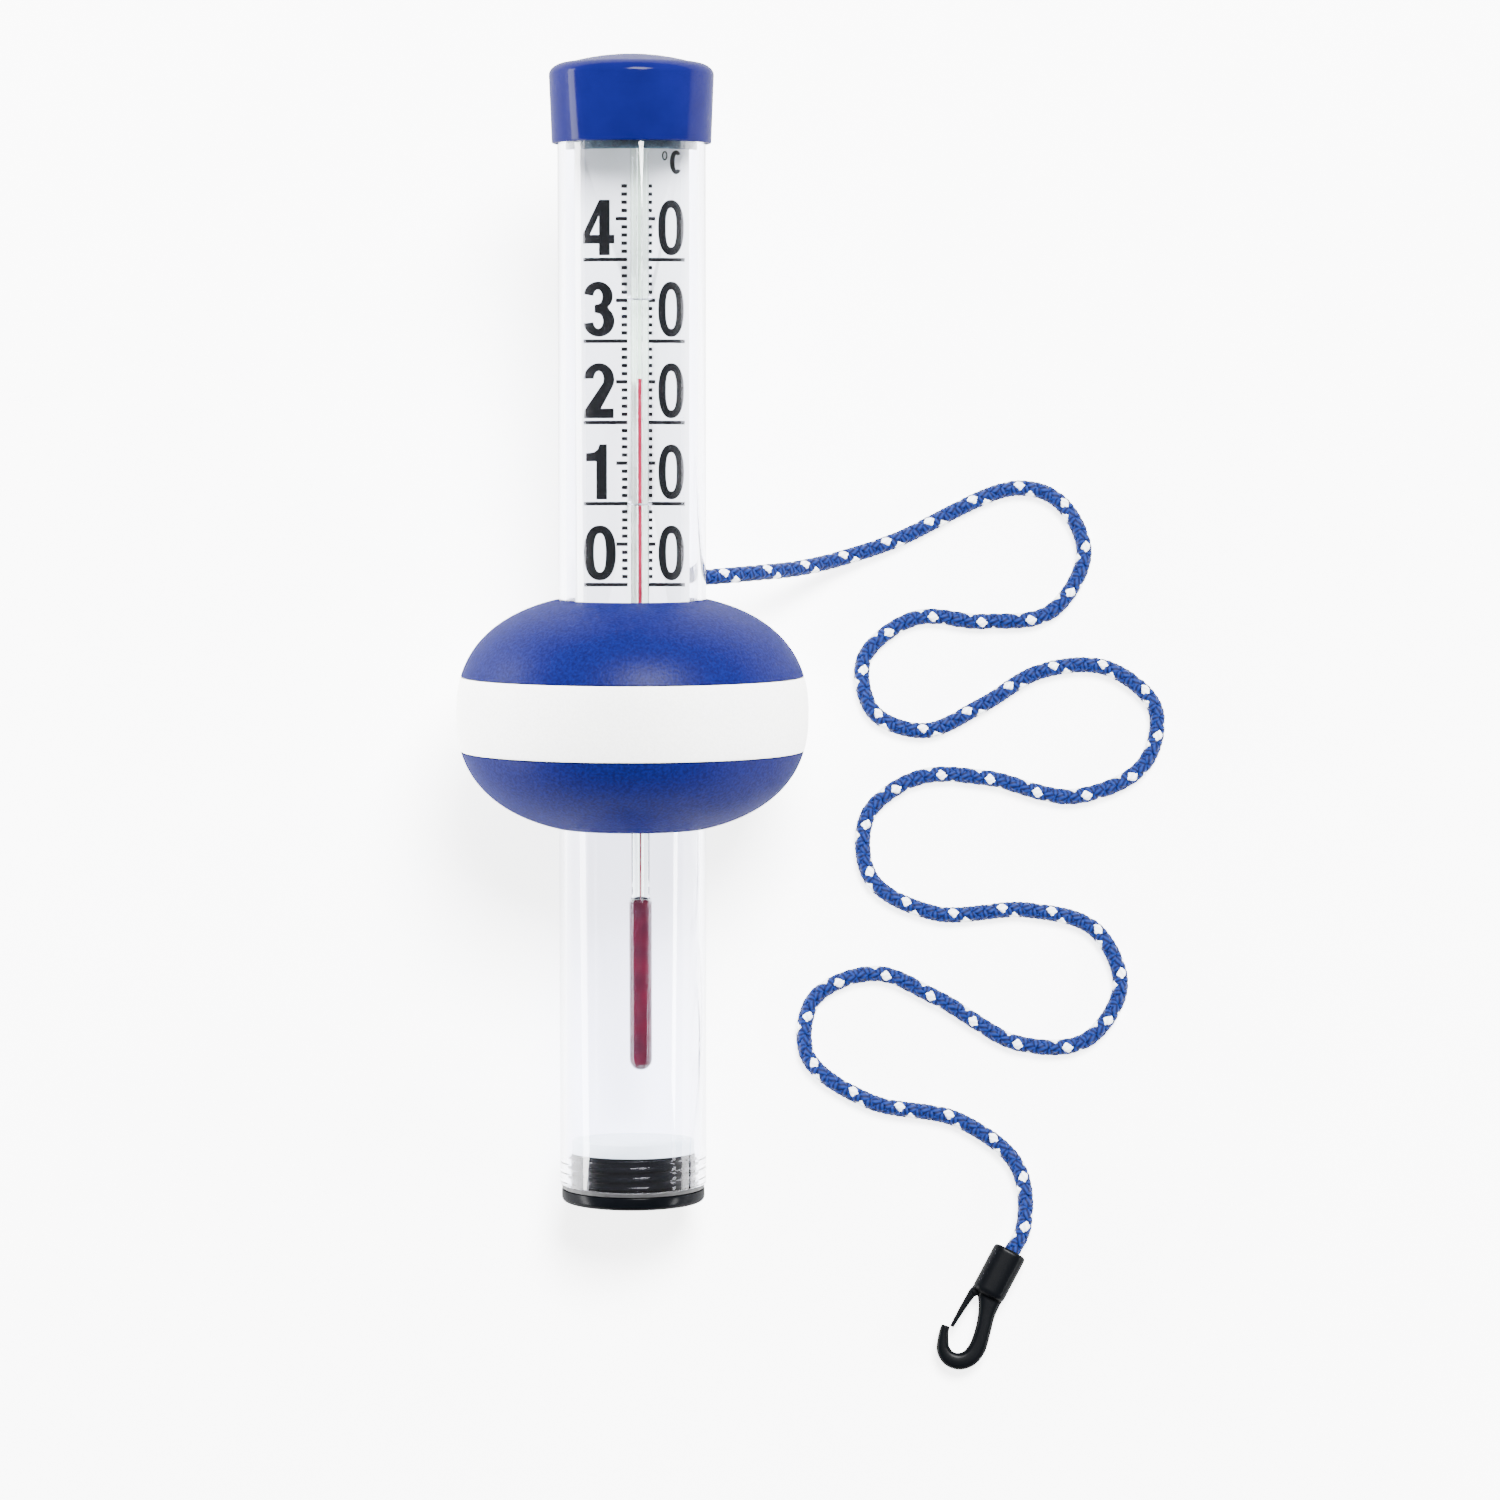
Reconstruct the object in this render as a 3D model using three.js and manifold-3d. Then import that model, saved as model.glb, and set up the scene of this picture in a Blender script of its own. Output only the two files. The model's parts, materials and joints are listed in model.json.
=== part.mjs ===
// Floating pool thermometer, lying on a floor with its rope and snap hook beside it.
// Millimetres, +Z up. The origin is on the floor, below the middle of the thermometer's own box.
// A clear tube holds a scale plate and a spirit thermometer. A two-part float sits round the
// tube, a cap is pushed over its top end, and a threaded plug with a weight closes its bottom.
import * as THREE from "three";
import { mergeVertices } from "three/addons/utils/BufferGeometryUtils.js";
import Module from "manifold-3d";

const wasm = await Module();
wasm.setup();

// ---- Driving dimensions ----

// General
const GAP = 0.3; // between pieces that touch
const EDGE_BREAK = 0.4; // small bevel on a thin edge
const ROUND = 32; // sides of a large round piece
const SMALL_ROUND = 16; // sides of the stem and other thin round pieces

// Clear tube. Heights along the tube are measured from the plug's lower face.
const TUBE_RADIUS = 22.5;
const TUBE_WALL = 2.3;
const TUBE_LENGTH = 336;

// Threaded plug, its gasket and its weight
const PLUG_INSET = 0.55; // how far the flange stands back from the tube's outside
const PLUG_FLANGE = 3.9;
const PLUG_EDGE = 1.5; // rounding of the flange's lower edge
const GASKET_THICKNESS = 1;
const GASKET_INSET = 0.1; // from the edge of what it seals
const THREAD_PITCH = 3;
const THREAD_LENGTH = 9.6;
const THREAD_DEPTH = 1;
const THREAD_CLEARANCE = 0.35; // from the plug's ridges to the tube's bore
const RIDGE_HALF_WIDTH = 0.3; // at a ridge's foot, as a share of the pitch
const RIDGE_FLANK = 0.18; // width of one sloping side, as a share of the pitch
const PLUG_CUP_WALL = 3.85; // from the thread's core to the cup that holds the weight
const WEIGHT_DEPTH = 11.6;
const WEIGHT_HEAD = 4.9; // height of the head above the plug
const WEIGHT_HEAD_EDGE = 0.8;

// Cap
const CAP_HEIGHT = 27;
const CAP_WALL = 2.2; // of the skirt, at its widest
const CAP_TAPER = 0.8; // how much narrower the skirt is at its lower edge
const CAP_SHOULDER = 5; // height of the rounded shoulder
const CAP_SHOULDER_ACROSS = 6;
const CAP_DOME = 1.5; // rise of the crown
const CAP_CROWN = 5.4; // thickness of the crown, dome and shoulder included

// Float: a superellipse turned round the tube
const FLOAT_RADIUS = 53.8;
const FLOAT_HALF_HEIGHT = 37;
const FLOAT_POWER = 2.4;
const FLOAT_CENTRE = 150;
const FLOAT_WALL = 2.2;
const BAND_HALF_HEIGHT = 11.3;
const LIP_LENGTH = 3.8; // how far each shell reaches behind the band
const COLLAR_WALL = 2;
const SEAL_RADIUS = 0.95; // section of the O-rings in the collars
const SEAL_CLEARANCE = 0.2;
const SEAL_BELOW_TOP = 5.5;

// Rope lug on the upper shell
const LUG_THICKNESS = 5;
const LUG_WALL = 1.5;
const LUG_NECK = 3.6;
const LUG_STAND_OFF = 0.4; // from the collar's bore

// Scale plate and its holders
const PLATE_SIDE_ROOM = 2.6; // from each side of the plate to the bore's width
const PLATE_THICKNESS = 1;
const PLATE_FRONT = 1.5; // behind the tube's axis
const PLATE_BOTTOM = 141;
const PLATE_BELOW_RIM = 12.5; // from the tube's upper rim to the plate's top
const HOLDER_THICKNESS = 10;
const UPPER_HOLDER_BELOW_RIM = 11; // from the tube's upper rim to the holder's top
const LOWER_HOLDER_BELOW_PLATE = 6; // how far it reaches below the plate

// Glass stem and bulb
const STEM_X = 2.4; // right of the tube's axis
const STEM_RADIUS = 2.75;
const STEM_BORE = 0.8;
const STEM_BELOW_RIM = 6.5; // from the tube's upper rim to the stem's tip
const BULB_BOTTOM = 41.6;
const BULB_TOP = 94.2;
const BULB_RADIUS = 3.45;
const BULB_WALL = 0.7;
const SPIRIT_CLEARANCE = 0.25;

// Scale and spirit
const ZERO_MARK = 189.2;
const DEGREE = 2.447; // length of one degree on the scale
const SHOWN_DEGREES = 25.4;
const HIGHEST_DEGREES = 50;
const COLUMN_RADIUS = 0.62;
const COLUMN_BORE = 0.38;
const COLUMN_TOP = 1; // solid tip of the column
const THREAD_OF_SPIRIT_RADIUS = 0.25;
const COLUMN_TAIL_ROOM = 1.5; // below the column's tail when it is coldest

// Wire ties that hold the stem on the plate
const WIRE_RADIUS = 0.3;
const TIE_MARKS = { stem_tie_upper: 35.2, stem_tie_lower: 10 }; // in degrees
const TIE_LEG = 2.4;
const TIE_BEND = 0.6;
const TIE_HOLE_RADIUS = 0.8;

// Rope and knots
const ROPE_RADIUS = 2.5;
const ROPE_SIDES = 10;
const ROPE_STEPS = 78;
const LUG_KNOT = { radius: 5, length: 9 };
const HOOK_KNOT = { radius: 3.4, length: 6 };
const ROPE_STARTS = 0.5; // from the lug's face, on the knot's side

// Snap hook. Its sleeve lies along the rope's last stretch.
const SLEEVE_RADIUS = 4.8;
const SLEEVE_LENGTH = 15.9;
const SLEEVE_EDGE = 1;
const SLEEVE_CLEARANCE = 0.4; // round the rope
const CHAMBER_START = 7; // from the sleeve's mouth to the knot chamber
const WINDOW_INSET = 0.5; // from the chamber's sides to its window's
const HOOK_THICKNESS = 4.6;
const HOOK_BEVEL = 1;
const GATE_THICKNESS = 3;
const GATE_BEVEL = 0.5;
const GATE_PIVOT = [4.4, 17.3];

// Centre lines with their half widths, in the hook's own frame: Y runs from the sleeve's mouth
// to the bend, X towards the hook's tip. The gate's line starts at its pivot.
const HOOK_LINE = [
  [-1.2, 12.5, 2.7],
  [-2.4, 17, 2.3],
  [-3.2, 22, 2.1],
  [-4.4, 27, 2.2],
  [-5.1, 31.5, 2.4],
  [-4.4, 35.4, 2.4],
  [-2, 38, 2.3],
  [1.4, 38.6, 2.1],
  [4.3, 37, 1.8],
  [5.6, 34.4, 1.5],
  [6.7, 31.2, 1.15],
];
const GATE_LINE = [
  [0, -0.5, 0.9],
  [0, 0.6, 1],
  [0.5, 3, 0.95],
  [1, 7, 0.85],
  [1.4, 10.9, 0.7],
];

// The rope's route after the lug, as [x, y from the lug's hole, z]: down to the floor, in bends
// over the floor, and into the hook.
const ROPE_ROUTE = [
  [36, 3, 27],
  [52, 7, 15],
  [66, 12, 6.5],
  [82, 18, 3.2],
  [120, 35, 2.7],
  [134, 31, 2.7],
  [142, 14, 2.7],
  [131, -5, 2.7],
  [110, -8, 2.7],
  [88, -7, 2.7],
  [72, -20, 2.7],
  [75, -37, 2.7],
  [91, -43, 2.7],
  [109, -35, 2.7],
  [128, -24, 2.7],
  [149, -23, 2.7],
  [164, -36, 2.7],
  [160, -54, 2.7],
  [138, -64, 2.7],
  [110, -58, 2.7],
  [89, -58, 2.7],
  [73, -70, 2.7],
  [74, -90, 2.7],
  [94, -101, 2.7],
  [123, -100, 2.7],
  [144, -106, 2.7],
  [152, -124, 2.7],
  [141, -141, 2.7],
  [120, -142, 2.7],
  [95, -128, 2.7],
  [75, -120, 2.7],
  [56, -128, 2.7],
  [54, -146, 2.7],
  [73, -160, 2.7],
  [101, -166, 2.7],
  [119, -180, 3],
  [121, -199, 4.9],
  [114, -212, 4.9],
];
const ROPE_LEAD = 17; // the rope's straight stretch out of the lug
const ROPE_IN_SLEEVE = 6; // the rope's last stretch, inside the sleeve

// ---- Values worked out from the driving dimensions ----

const tubeBore = TUBE_RADIUS - TUBE_WALL;
const tubeBottom = PLUG_FLANGE + GASKET_THICKNESS + 2 * GAP;
const tubeTop = tubeBottom + TUBE_LENGTH;
const threadTop = tubeBottom + THREAD_LENGTH;
const plugTop = threadTop + GAP;
const plugRadius = TUBE_RADIUS - PLUG_INSET;
const plugThreadTip = tubeBore - THREAD_CLEARANCE;
const plugCore = plugThreadTip - THREAD_DEPTH;
const weightRadius = plugCore - PLUG_CUP_WALL - GAP;
const weightHeadRadius = tubeBore - THREAD_DEPTH - 2 * GAP;
const collarBore = TUBE_RADIUS + GAP;
const capRadius = collarBore + CAP_WALL;
const holderRadius = tubeBore - GAP;
const plateWidth = 2 * (tubeBore - PLATE_SIDE_ROOM);
const plateTop = tubeTop - PLATE_BELOW_RIM;
const upperHolderBottom = tubeTop - UPPER_HOLDER_BELOW_RIM - HOLDER_THICKNESS;
const lowerHolderBottom = PLATE_BOTTOM - LOWER_HOLDER_BELOW_PLATE;
const stemTop = tubeTop - STEM_BELOW_RIM;
const columnTravelDown = SHOWN_DEGREES * DEGREE;
const columnTop = ZERO_MARK + columnTravelDown;
const columnLength = (HIGHEST_DEGREES + 1) * DEGREE;
const stemY = PLATE_FRONT - GAP - STEM_RADIUS;

// ---- Helpers ----

// Turns a profile of [radius, height] points round the Z axis. A ring's profile is closed here.
function turn(profile, sides, closed = false) {
  const area = profile.reduce((sum, [r, z], i) => {
    const [nextR, nextZ] = profile[(i + 1) % profile.length];
    return sum + r * nextZ - nextR * z;
  }, 0);
  const ordered = area > 0 ? [...profile] : [...profile].reverse();
  if (closed) ordered.push(ordered[0]);
  const points = ordered.map(([r, z]) => new THREE.Vector2(r, z));
  return new THREE.LatheGeometry(points, sides).rotateX(Math.PI / 2);
}

// Points [radius, height] on a quarter or other arc round [centreR, centreZ].
function arc(centreR, centreZ, radius, fromDegrees, toDegrees, steps) {
  return Array.from({ length: steps + 1 }, (_, i) => {
    const angle = THREE.MathUtils.degToRad(fromDegrees + ((toDegrees - fromDegrees) * i) / steps);
    return [centreR + radius * Math.cos(angle), centreZ + radius * Math.sin(angle)];
  });
}

function solid(geometry) {
  const bare = geometry.clone();
  bare.deleteAttribute("normal");
  bare.deleteAttribute("uv");
  const merged = mergeVertices(bare, 1e-4);
  return new wasm.Manifold(
    new wasm.Mesh({
      numProp: 3,
      vertProperties: merged.attributes.position.array,
      triVerts: new Uint32Array(merged.index.array),
    }),
  );
}

function geometryOf(made) {
  const mesh = made.getMesh();
  const geometry = new THREE.BufferGeometry();
  geometry.setAttribute("position", new THREE.BufferAttribute(mesh.vertProperties, 3));
  geometry.setIndex(new THREE.BufferAttribute(mesh.triVerts, 1));
  geometry.computeVertexNormals();
  return geometry;
}

// A solid rod between two heights on the Z axis.
function rod(radius, bottom, top, sides) {
  return turn([[0, bottom], [radius, bottom], [radius, top], [0, top]], sides);
}

// A box with its middle at x and y, between two heights.
function block(width, depth, x, y, bottom, top) {
  return new THREE.BoxGeometry(width, depth, top - bottom).translate(x, y, (bottom + top) / 2);
}

function plastic(color, roughness) {
  return new THREE.MeshStandardMaterial({ color, roughness, metalness: 0 });
}

function clear(color, opacity) {
  const material = plastic(color, 0.05);
  material.transparent = true;
  material.opacity = opacity;
  return material;
}

const blueGloss = plastic(0x1f3a93, 0.2);
const blueGrained = plastic(0x1f3a93, 0.45);
const whiteGrained = plastic(0xf2f2f0, 0.45);
const blackGloss = plastic(0x0a0d12, 0.3);
const blackRubber = plastic(0x111111, 0.7);
const clearAcrylic = clear(0xdfe6ef, 0.3);
const clearGlass = clear(0xeef3f0, 0.35);
const redSpirit = plastic(0x8c1f44, 0.2);
const redColumn = plastic(0xd4586c, 0.2);
const whitePlate = plastic(0xf7f7f4, 0.5);
const darkFoam = plastic(0x20323c, 0.8);
const blueRope = plastic(0x2455a8, 0.85);
const steelWire = new THREE.MeshStandardMaterial({ color: 0xb9bdc2, roughness: 0.35, metalness: 1 });
const zincSteel = new THREE.MeshStandardMaterial({ color: 0xcfd6d8, roughness: 0.3, metalness: 1 });

function piece(name, geometry, material) {
  const mesh = new THREE.Mesh(geometry, material);
  mesh.name = name;
  return mesh;
}

// ---- Thread ----

// How far a ridge stands at this height and angle, from 0 to 1: a trapezoid on a right-hand
// helix, which fades out at both ends. The phase shifts the ridge by a share of the pitch.
function ridge(height, angle, phase) {
  const turns = height / THREAD_PITCH - angle / (2 * Math.PI) + phase;
  const fromMiddle = Math.abs(turns - Math.floor(turns) - 0.5);
  const flank = THREE.MathUtils.clamp((RIDGE_HALF_WIDTH - fromMiddle) / RIDGE_FLANK, 0, 1);
  const fade = THREE.MathUtils.clamp(Math.min(height, THREAD_LENGTH - height), 0, 1);
  return flank * fade;
}

// Heights of the rows of vertices that carry the thread.
function threadRows() {
  const rows = Math.round((6 * THREAD_LENGTH) / THREAD_PITCH);
  return Array.from({ length: rows + 1 }, (_, i) => tubeBottom + (THREAD_LENGTH * i) / rows);
}

// Moves the vertices that lie on a plain wall of this radius in or out by the ridge.
function cutThread(geometry, wallRadius, depth, phase) {
  const position = geometry.getAttribute("position");
  for (let i = 0; i < position.count; i++) {
    const x = position.getX(i);
    const y = position.getY(i);
    const height = position.getZ(i) - tubeBottom;
    const onWall = Math.abs(Math.hypot(x, y) - wallRadius) < 1e-3;
    if (!onWall || height < 0 || height > THREAD_LENGTH) continue;
    const scale = 1 + (depth * ridge(height, Math.atan2(y, x), phase)) / wallRadius;
    position.setXY(i, x * scale, y * scale);
  }
  return geometry;
}

// ---- Tube and its closures ----

function outerTube() {
  const profile = [
    [TUBE_RADIUS, tubeBottom],
    [TUBE_RADIUS, tubeTop],
    [tubeBore, tubeTop],
    [tubeBore, threadTop + THREAD_PITCH],
    ...threadRows().reverse().map((z) => [tubeBore, z]),
  ];
  const threaded = cutThread(turn(profile, ROUND, true), tubeBore, -THREAD_DEPTH, 0.5);
  return piece("outer_tube", threaded, clearAcrylic);
}

function bottomPlug() {
  const cup = weightRadius + GAP;
  const cupFloor = plugTop - WEIGHT_DEPTH;
  const profile = [
    [0, 0],
    ...arc(plugRadius - PLUG_EDGE, PLUG_EDGE, PLUG_EDGE, -90, 0, 3),
    [plugRadius, PLUG_FLANGE],
    [plugCore, PLUG_FLANGE],
    ...threadRows().map((z) => [plugCore, z]),
    [plugCore, plugTop],
    [cup, plugTop],
    [cup, cupFloor],
    [0, cupFloor],
  ];
  return piece("bottom_plug", cutThread(turn(profile, ROUND), plugCore, THREAD_DEPTH, 0), blackGloss);
}

function plugGasket() {
  const inner = plugThreadTip + 2 * GASKET_INSET;
  const outer = plugRadius - GASKET_INSET;
  const bottom = PLUG_FLANGE + GAP;
  const top = bottom + GASKET_THICKNESS;
  const profile = [[inner, bottom], [outer, bottom], [outer, top], [inner, top]];
  return piece("plug_gasket", turn(profile, ROUND, true), blackRubber);
}

function ballastWeight() {
  const bottom = plugTop - WEIGHT_DEPTH + GAP;
  const headBottom = plugTop + GAP;
  const headTop = headBottom + WEIGHT_HEAD;
  const profile = [
    [0, bottom],
    [weightRadius, bottom],
    [weightRadius, headBottom],
    [weightHeadRadius, headBottom],
    ...arc(weightHeadRadius - WEIGHT_HEAD_EDGE, headTop - WEIGHT_HEAD_EDGE, WEIGHT_HEAD_EDGE, 0, 90, 2),
    [0, headTop],
  ];
  return piece("ballast_weight", turn(profile, ROUND), zincSteel);
}

// The cap's underside clears the gasket on the tube's rim.
const capInside = tubeTop + GASKET_THICKNESS + 2 * GAP;
const capTop = capInside + CAP_CROWN + CAP_DOME;
const capBottom = capTop - CAP_HEIGHT;

function topCap() {
  const rimRadius = capRadius - CAP_TAPER;
  const shoulderZ = capTop - CAP_DOME - CAP_SHOULDER;
  const crownRadius = capRadius - CAP_SHOULDER_ACROSS;
  const shoulder = arc(0, 0, 1, 0, 90, 6).map(([across, up]) => [
    crownRadius + CAP_SHOULDER_ACROSS * across,
    shoulderZ + CAP_SHOULDER * up,
  ]);
  const dome = [0.75, 0.5, 0.25, 0].map((share) => [crownRadius * share, capTop - CAP_DOME * share ** 2]);
  const profile = [
    [0, capInside],
    [collarBore, capInside],
    [collarBore, capBottom],
    [rimRadius - EDGE_BREAK, capBottom],
    [rimRadius, capBottom + EDGE_BREAK],
    ...shoulder,
    ...dome,
  ];
  return piece("top_cap", turn(profile, ROUND), blueGloss);
}

function capGasket() {
  const bottom = tubeTop + GAP;
  const top = bottom + GASKET_THICKNESS;
  const profile = [[tubeBore, bottom], [TUBE_RADIUS, bottom], [TUBE_RADIUS, top], [tubeBore, top]];
  return piece("cap_gasket", turn(profile, ROUND, true), blackRubber);
}

// ---- Float ----

// A point on the float's section, set in by a wall. The angle runs from the rim to the top.
function floatPoint(angle, inset) {
  return [
    (FLOAT_RADIUS - inset) * Math.cos(angle) ** (2 / FLOAT_POWER),
    (FLOAT_HALF_HEIGHT - inset) * Math.sin(angle) ** (2 / FLOAT_POWER),
  ];
}

function angleAtHeight(height, inset) {
  return Math.asin((height / (FLOAT_HALF_HEIGHT - inset)) ** (FLOAT_POWER / 2));
}

function angleAtRadius(radius, inset) {
  return Math.acos((radius / (FLOAT_RADIUS - inset)) ** (FLOAT_POWER / 2));
}

function floatArc(fromAngle, toAngle, inset, steps) {
  return Array.from({ length: steps + 1 }, (_, i) =>
    floatPoint(fromAngle + ((toAngle - fromAngle) * i) / steps, inset),
  );
}

const bandEdgeRadius = floatPoint(angleAtHeight(BAND_HALF_HEIGHT, 0), 0)[0];
const bandInside = bandEdgeRadius - FLOAT_WALL;
const lipOutside = bandInside - GAP;
const lipInside = lipOutside - FLOAT_WALL;
const floatTop = floatPoint(angleAtRadius(collarBore, 0), 0)[1];

// One half shell's section, above the float's middle plane: skin, collar round the tube with
// its seal groove, and the lip that goes behind the band.
function shellProfile() {
  const shellEdge = BAND_HALF_HEIGHT + GAP;
  const collarOutside = collarBore + COLLAR_WALL;
  const grooveDepth = TUBE_RADIUS + 2 * (SEAL_CLEARANCE + SEAL_RADIUS);
  const grooveMiddle = floatTop - SEAL_BELOW_TOP;
  const grooveHalf = SEAL_RADIUS + GAP;
  const thickCollar = grooveDepth + COLLAR_WALL;
  const skinStart = angleAtHeight(shellEdge, 0);
  const skinEnd = angleAtRadius(collarBore + 1, 0);
  const insideStart = angleAtRadius(thickCollar, FLOAT_WALL);
  const insideEnd = angleAtRadius(lipInside, FLOAT_WALL);
  return [
    ...floatArc(skinStart, skinEnd, 0, 9),
    [collarBore, floatPoint(skinEnd, 0)[1] - EDGE_BREAK],
    [collarBore, grooveMiddle + grooveHalf],
    [grooveDepth, grooveMiddle + grooveHalf],
    [grooveDepth, grooveMiddle - grooveHalf],
    [collarBore, grooveMiddle - grooveHalf],
    [collarBore, GAP],
    [collarOutside, GAP],
    [collarOutside, grooveMiddle - grooveHalf - 2 * COLLAR_WALL],
    [thickCollar, grooveMiddle - grooveHalf - COLLAR_WALL],
    ...floatArc(insideStart, insideEnd, FLOAT_WALL, 6),
    [lipInside, shellEdge - LIP_LENGTH],
    [lipOutside, shellEdge - LIP_LENGTH],
    [lipOutside, shellEdge],
  ];
}

// The rope's eye on the back of the upper shell's collar: a plate across the rope's way.
const lugHole = ROPE_RADIUS + 2 * GAP;
const lugRadius = lugHole + LUG_WALL;
const lugY = collarBore + LUG_STAND_OFF + lugRadius;
const lugZ = floatPoint(angleAtRadius(lugY, 0), 0)[1] + LUG_NECK + lugHole;

function ropeLug() {
  const [nearFoot, farFoot] = [-lugRadius, lugRadius].map(
    (across) => floatPoint(angleAtRadius(lugY + across, 0), 0)[1] - FLOAT_WALL / 2 - lugZ,
  );
  const outline = new THREE.Shape();
  outline.moveTo(-lugRadius, nearFoot);
  outline.lineTo(lugRadius, farFoot);
  outline.absarc(0, 0, lugRadius, 0, Math.PI, false);
  const hole = new THREE.Path().absarc(0, 0, lugHole, 0, 2 * Math.PI, true);
  outline.holes.push(hole);
  const plate = new THREE.ExtrudeGeometry(outline, {
    depth: LUG_THICKNESS,
    bevelEnabled: false,
    curveSegments: 10,
  });
  // The foot follows the shell's slope and ends inside its wall. The outline's x goes along the
  // tube frame's Y, and its depth along X.
  const place = new THREE.Matrix4().makeBasis(
    new THREE.Vector3(0, 1, 0),
    new THREE.Vector3(0, 0, 1),
    new THREE.Vector3(1, 0, 0),
  );
  return plate.applyMatrix4(place).translate(-LUG_THICKNESS / 2, lugY, lugZ);
}

function floatPieces() {
  const upper = solid(turn(shellProfile(), ROUND, true)).add(solid(ropeLug()));
  const lowerProfile = shellProfile().map(([r, z]) => [r, -z]);
  const band = [
    ...Array.from({ length: 7 }, (_, i) => {
      const height = BAND_HALF_HEIGHT * (1 - i / 3);
      return [floatPoint(angleAtHeight(Math.abs(height), 0), 0)[0], height];
    }),
    [bandInside, -BAND_HALF_HEIGHT],
    [bandInside, BAND_HALF_HEIGHT],
  ];
  const group = new THREE.Group();
  group.position.z = FLOAT_CENTRE;
  group.add(piece("float_upper_shell", geometryOf(upper), blueGrained));
  group.add(piece("float_lower_shell", turn(lowerProfile, ROUND, true), blueGrained));
  group.add(piece("float_band", turn(band, ROUND, true), whiteGrained));
  for (const [name, side] of [["float_seal_upper", 1], ["float_seal_lower", -1]]) {
    const height = side * (floatTop - SEAL_BELOW_TOP);
    const middle = TUBE_RADIUS + SEAL_CLEARANCE + SEAL_RADIUS;
    const section = arc(middle, height, SEAL_RADIUS, 0, 300, 5);
    group.add(piece(name, turn(section, ROUND, true), blackRubber));
  }
  return group;
}

// ---- Scale plate, holders and ties ----

function tieWire(name, degrees) {
  const reach = STEM_RADIUS + GAP + WIRE_RADIUS;
  const back = PLATE_FRONT + PLATE_THICKNESS + GAP + WIRE_RADIUS;
  const front = arc(0, stemY, reach, 180, 360, 6);
  const path = new THREE.CatmullRomCurve3(
    [
      [-reach - TIE_LEG, back],
      [-reach - TIE_BEND, back],
      [-reach, back - TIE_BEND],
      [-reach, PLATE_FRONT],
      ...front,
      [reach, PLATE_FRONT],
      [reach, back - TIE_BEND],
      [reach + TIE_BEND, back],
      [reach + TIE_LEG, back],
    ].map(([x, y]) => new THREE.Vector3(x, y, 0)),
    false,
    "centripetal",
  );
  const section = new THREE.Shape().absarc(0, 0, WIRE_RADIUS, 0, 2 * Math.PI);
  const wire = new THREE.ExtrudeGeometry(section, {
    steps: 26,
    extrudePath: path,
    curveSegments: 3,
    bevelEnabled: false,
  });
  const mesh = piece(name, wire, steelWire);
  mesh.position.set(STEM_X, 0, ZERO_MARK + degrees * DEGREE);
  return mesh;
}

function scalePlate() {
  const middleY = PLATE_FRONT + PLATE_THICKNESS / 2;
  let plate = solid(block(plateWidth, PLATE_THICKNESS, 0, middleY, PLATE_BOTTOM, plateTop));
  const reach = STEM_RADIUS + GAP + WIRE_RADIUS;
  for (const degrees of Object.values(TIE_MARKS)) {
    for (const side of [-1, 1]) {
      const hole = new THREE.CylinderGeometry(TIE_HOLE_RADIUS, TIE_HOLE_RADIUS, 3 * PLATE_THICKNESS, 8);
      hole.translate(STEM_X + side * reach, middleY, ZERO_MARK + degrees * DEGREE);
      plate = plate.subtract(solid(hole));
    }
  }
  return piece("scale_plate", geometryOf(plate), whitePlate);
}

// A disc that fills the tube's bore, with a slot for the plate and a hole for the stem.
function holder(name, bottom) {
  const top = bottom + HOLDER_THICKNESS;
  const disc = solid(rod(holderRadius, bottom, top, ROUND));
  const slot = block(
    plateWidth + 2 * GAP,
    PLATE_THICKNESS + 2 * GAP,
    0,
    PLATE_FRONT + PLATE_THICKNESS / 2,
    bottom - 1,
    top + 1,
  );
  const hole = rod(STEM_RADIUS + GAP, bottom - 1, top + 1, SMALL_ROUND).translate(STEM_X, stemY, 0);
  return piece(name, geometryOf(disc.subtract(solid(slot)).subtract(solid(hole))), darkFoam);
}

// ---- Glass stem, bulb and spirit, on the stem's own axis ----

function glassStem() {
  const cavity = BULB_RADIUS - BULB_WALL;
  const neck = BULB_TOP - BULB_RADIUS;
  const profile = [
    ...arc(0, BULB_BOTTOM + BULB_RADIUS, BULB_RADIUS, -90, 0, 4),
    [BULB_RADIUS, neck],
    [STEM_RADIUS, BULB_TOP],
    [STEM_RADIUS, stemTop],
    [STEM_BORE, stemTop],
    [STEM_BORE, BULB_TOP],
    [cavity, neck],
    ...arc(0, BULB_BOTTOM + BULB_WALL + cavity, cavity, 0, -90, 4),
  ];
  return piece("glass_stem", turn(profile, SMALL_ROUND), clearGlass);
}

// The spirit in the bulb has a deep bore, which takes the column's tail when it is cold.
const columnBottom = columnTop - columnLength;
const reservoirBore = COLUMN_RADIUS + SPIRIT_CLEARANCE;
const reservoirBoreFloor = columnBottom - columnTravelDown - COLUMN_TAIL_ROOM;

function spiritReservoir() {
  const radius = BULB_RADIUS - BULB_WALL - SPIRIT_CLEARANCE;
  const bottom = BULB_BOTTOM + BULB_WALL + SPIRIT_CLEARANCE;
  const shoulder = BULB_TOP - BULB_RADIUS - SPIRIT_CLEARANCE;
  const profile = [
    ...arc(0, bottom + radius, radius, -90, 0, 4),
    [radius, shoulder],
    [reservoirBore, shoulder + BULB_RADIUS / 2],
    [reservoirBore, reservoirBoreFloor],
    [0, reservoirBoreFloor],
  ];
  return piece("spirit_reservoir", turn(profile, SMALL_ROUND), redSpirit);
}

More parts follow.
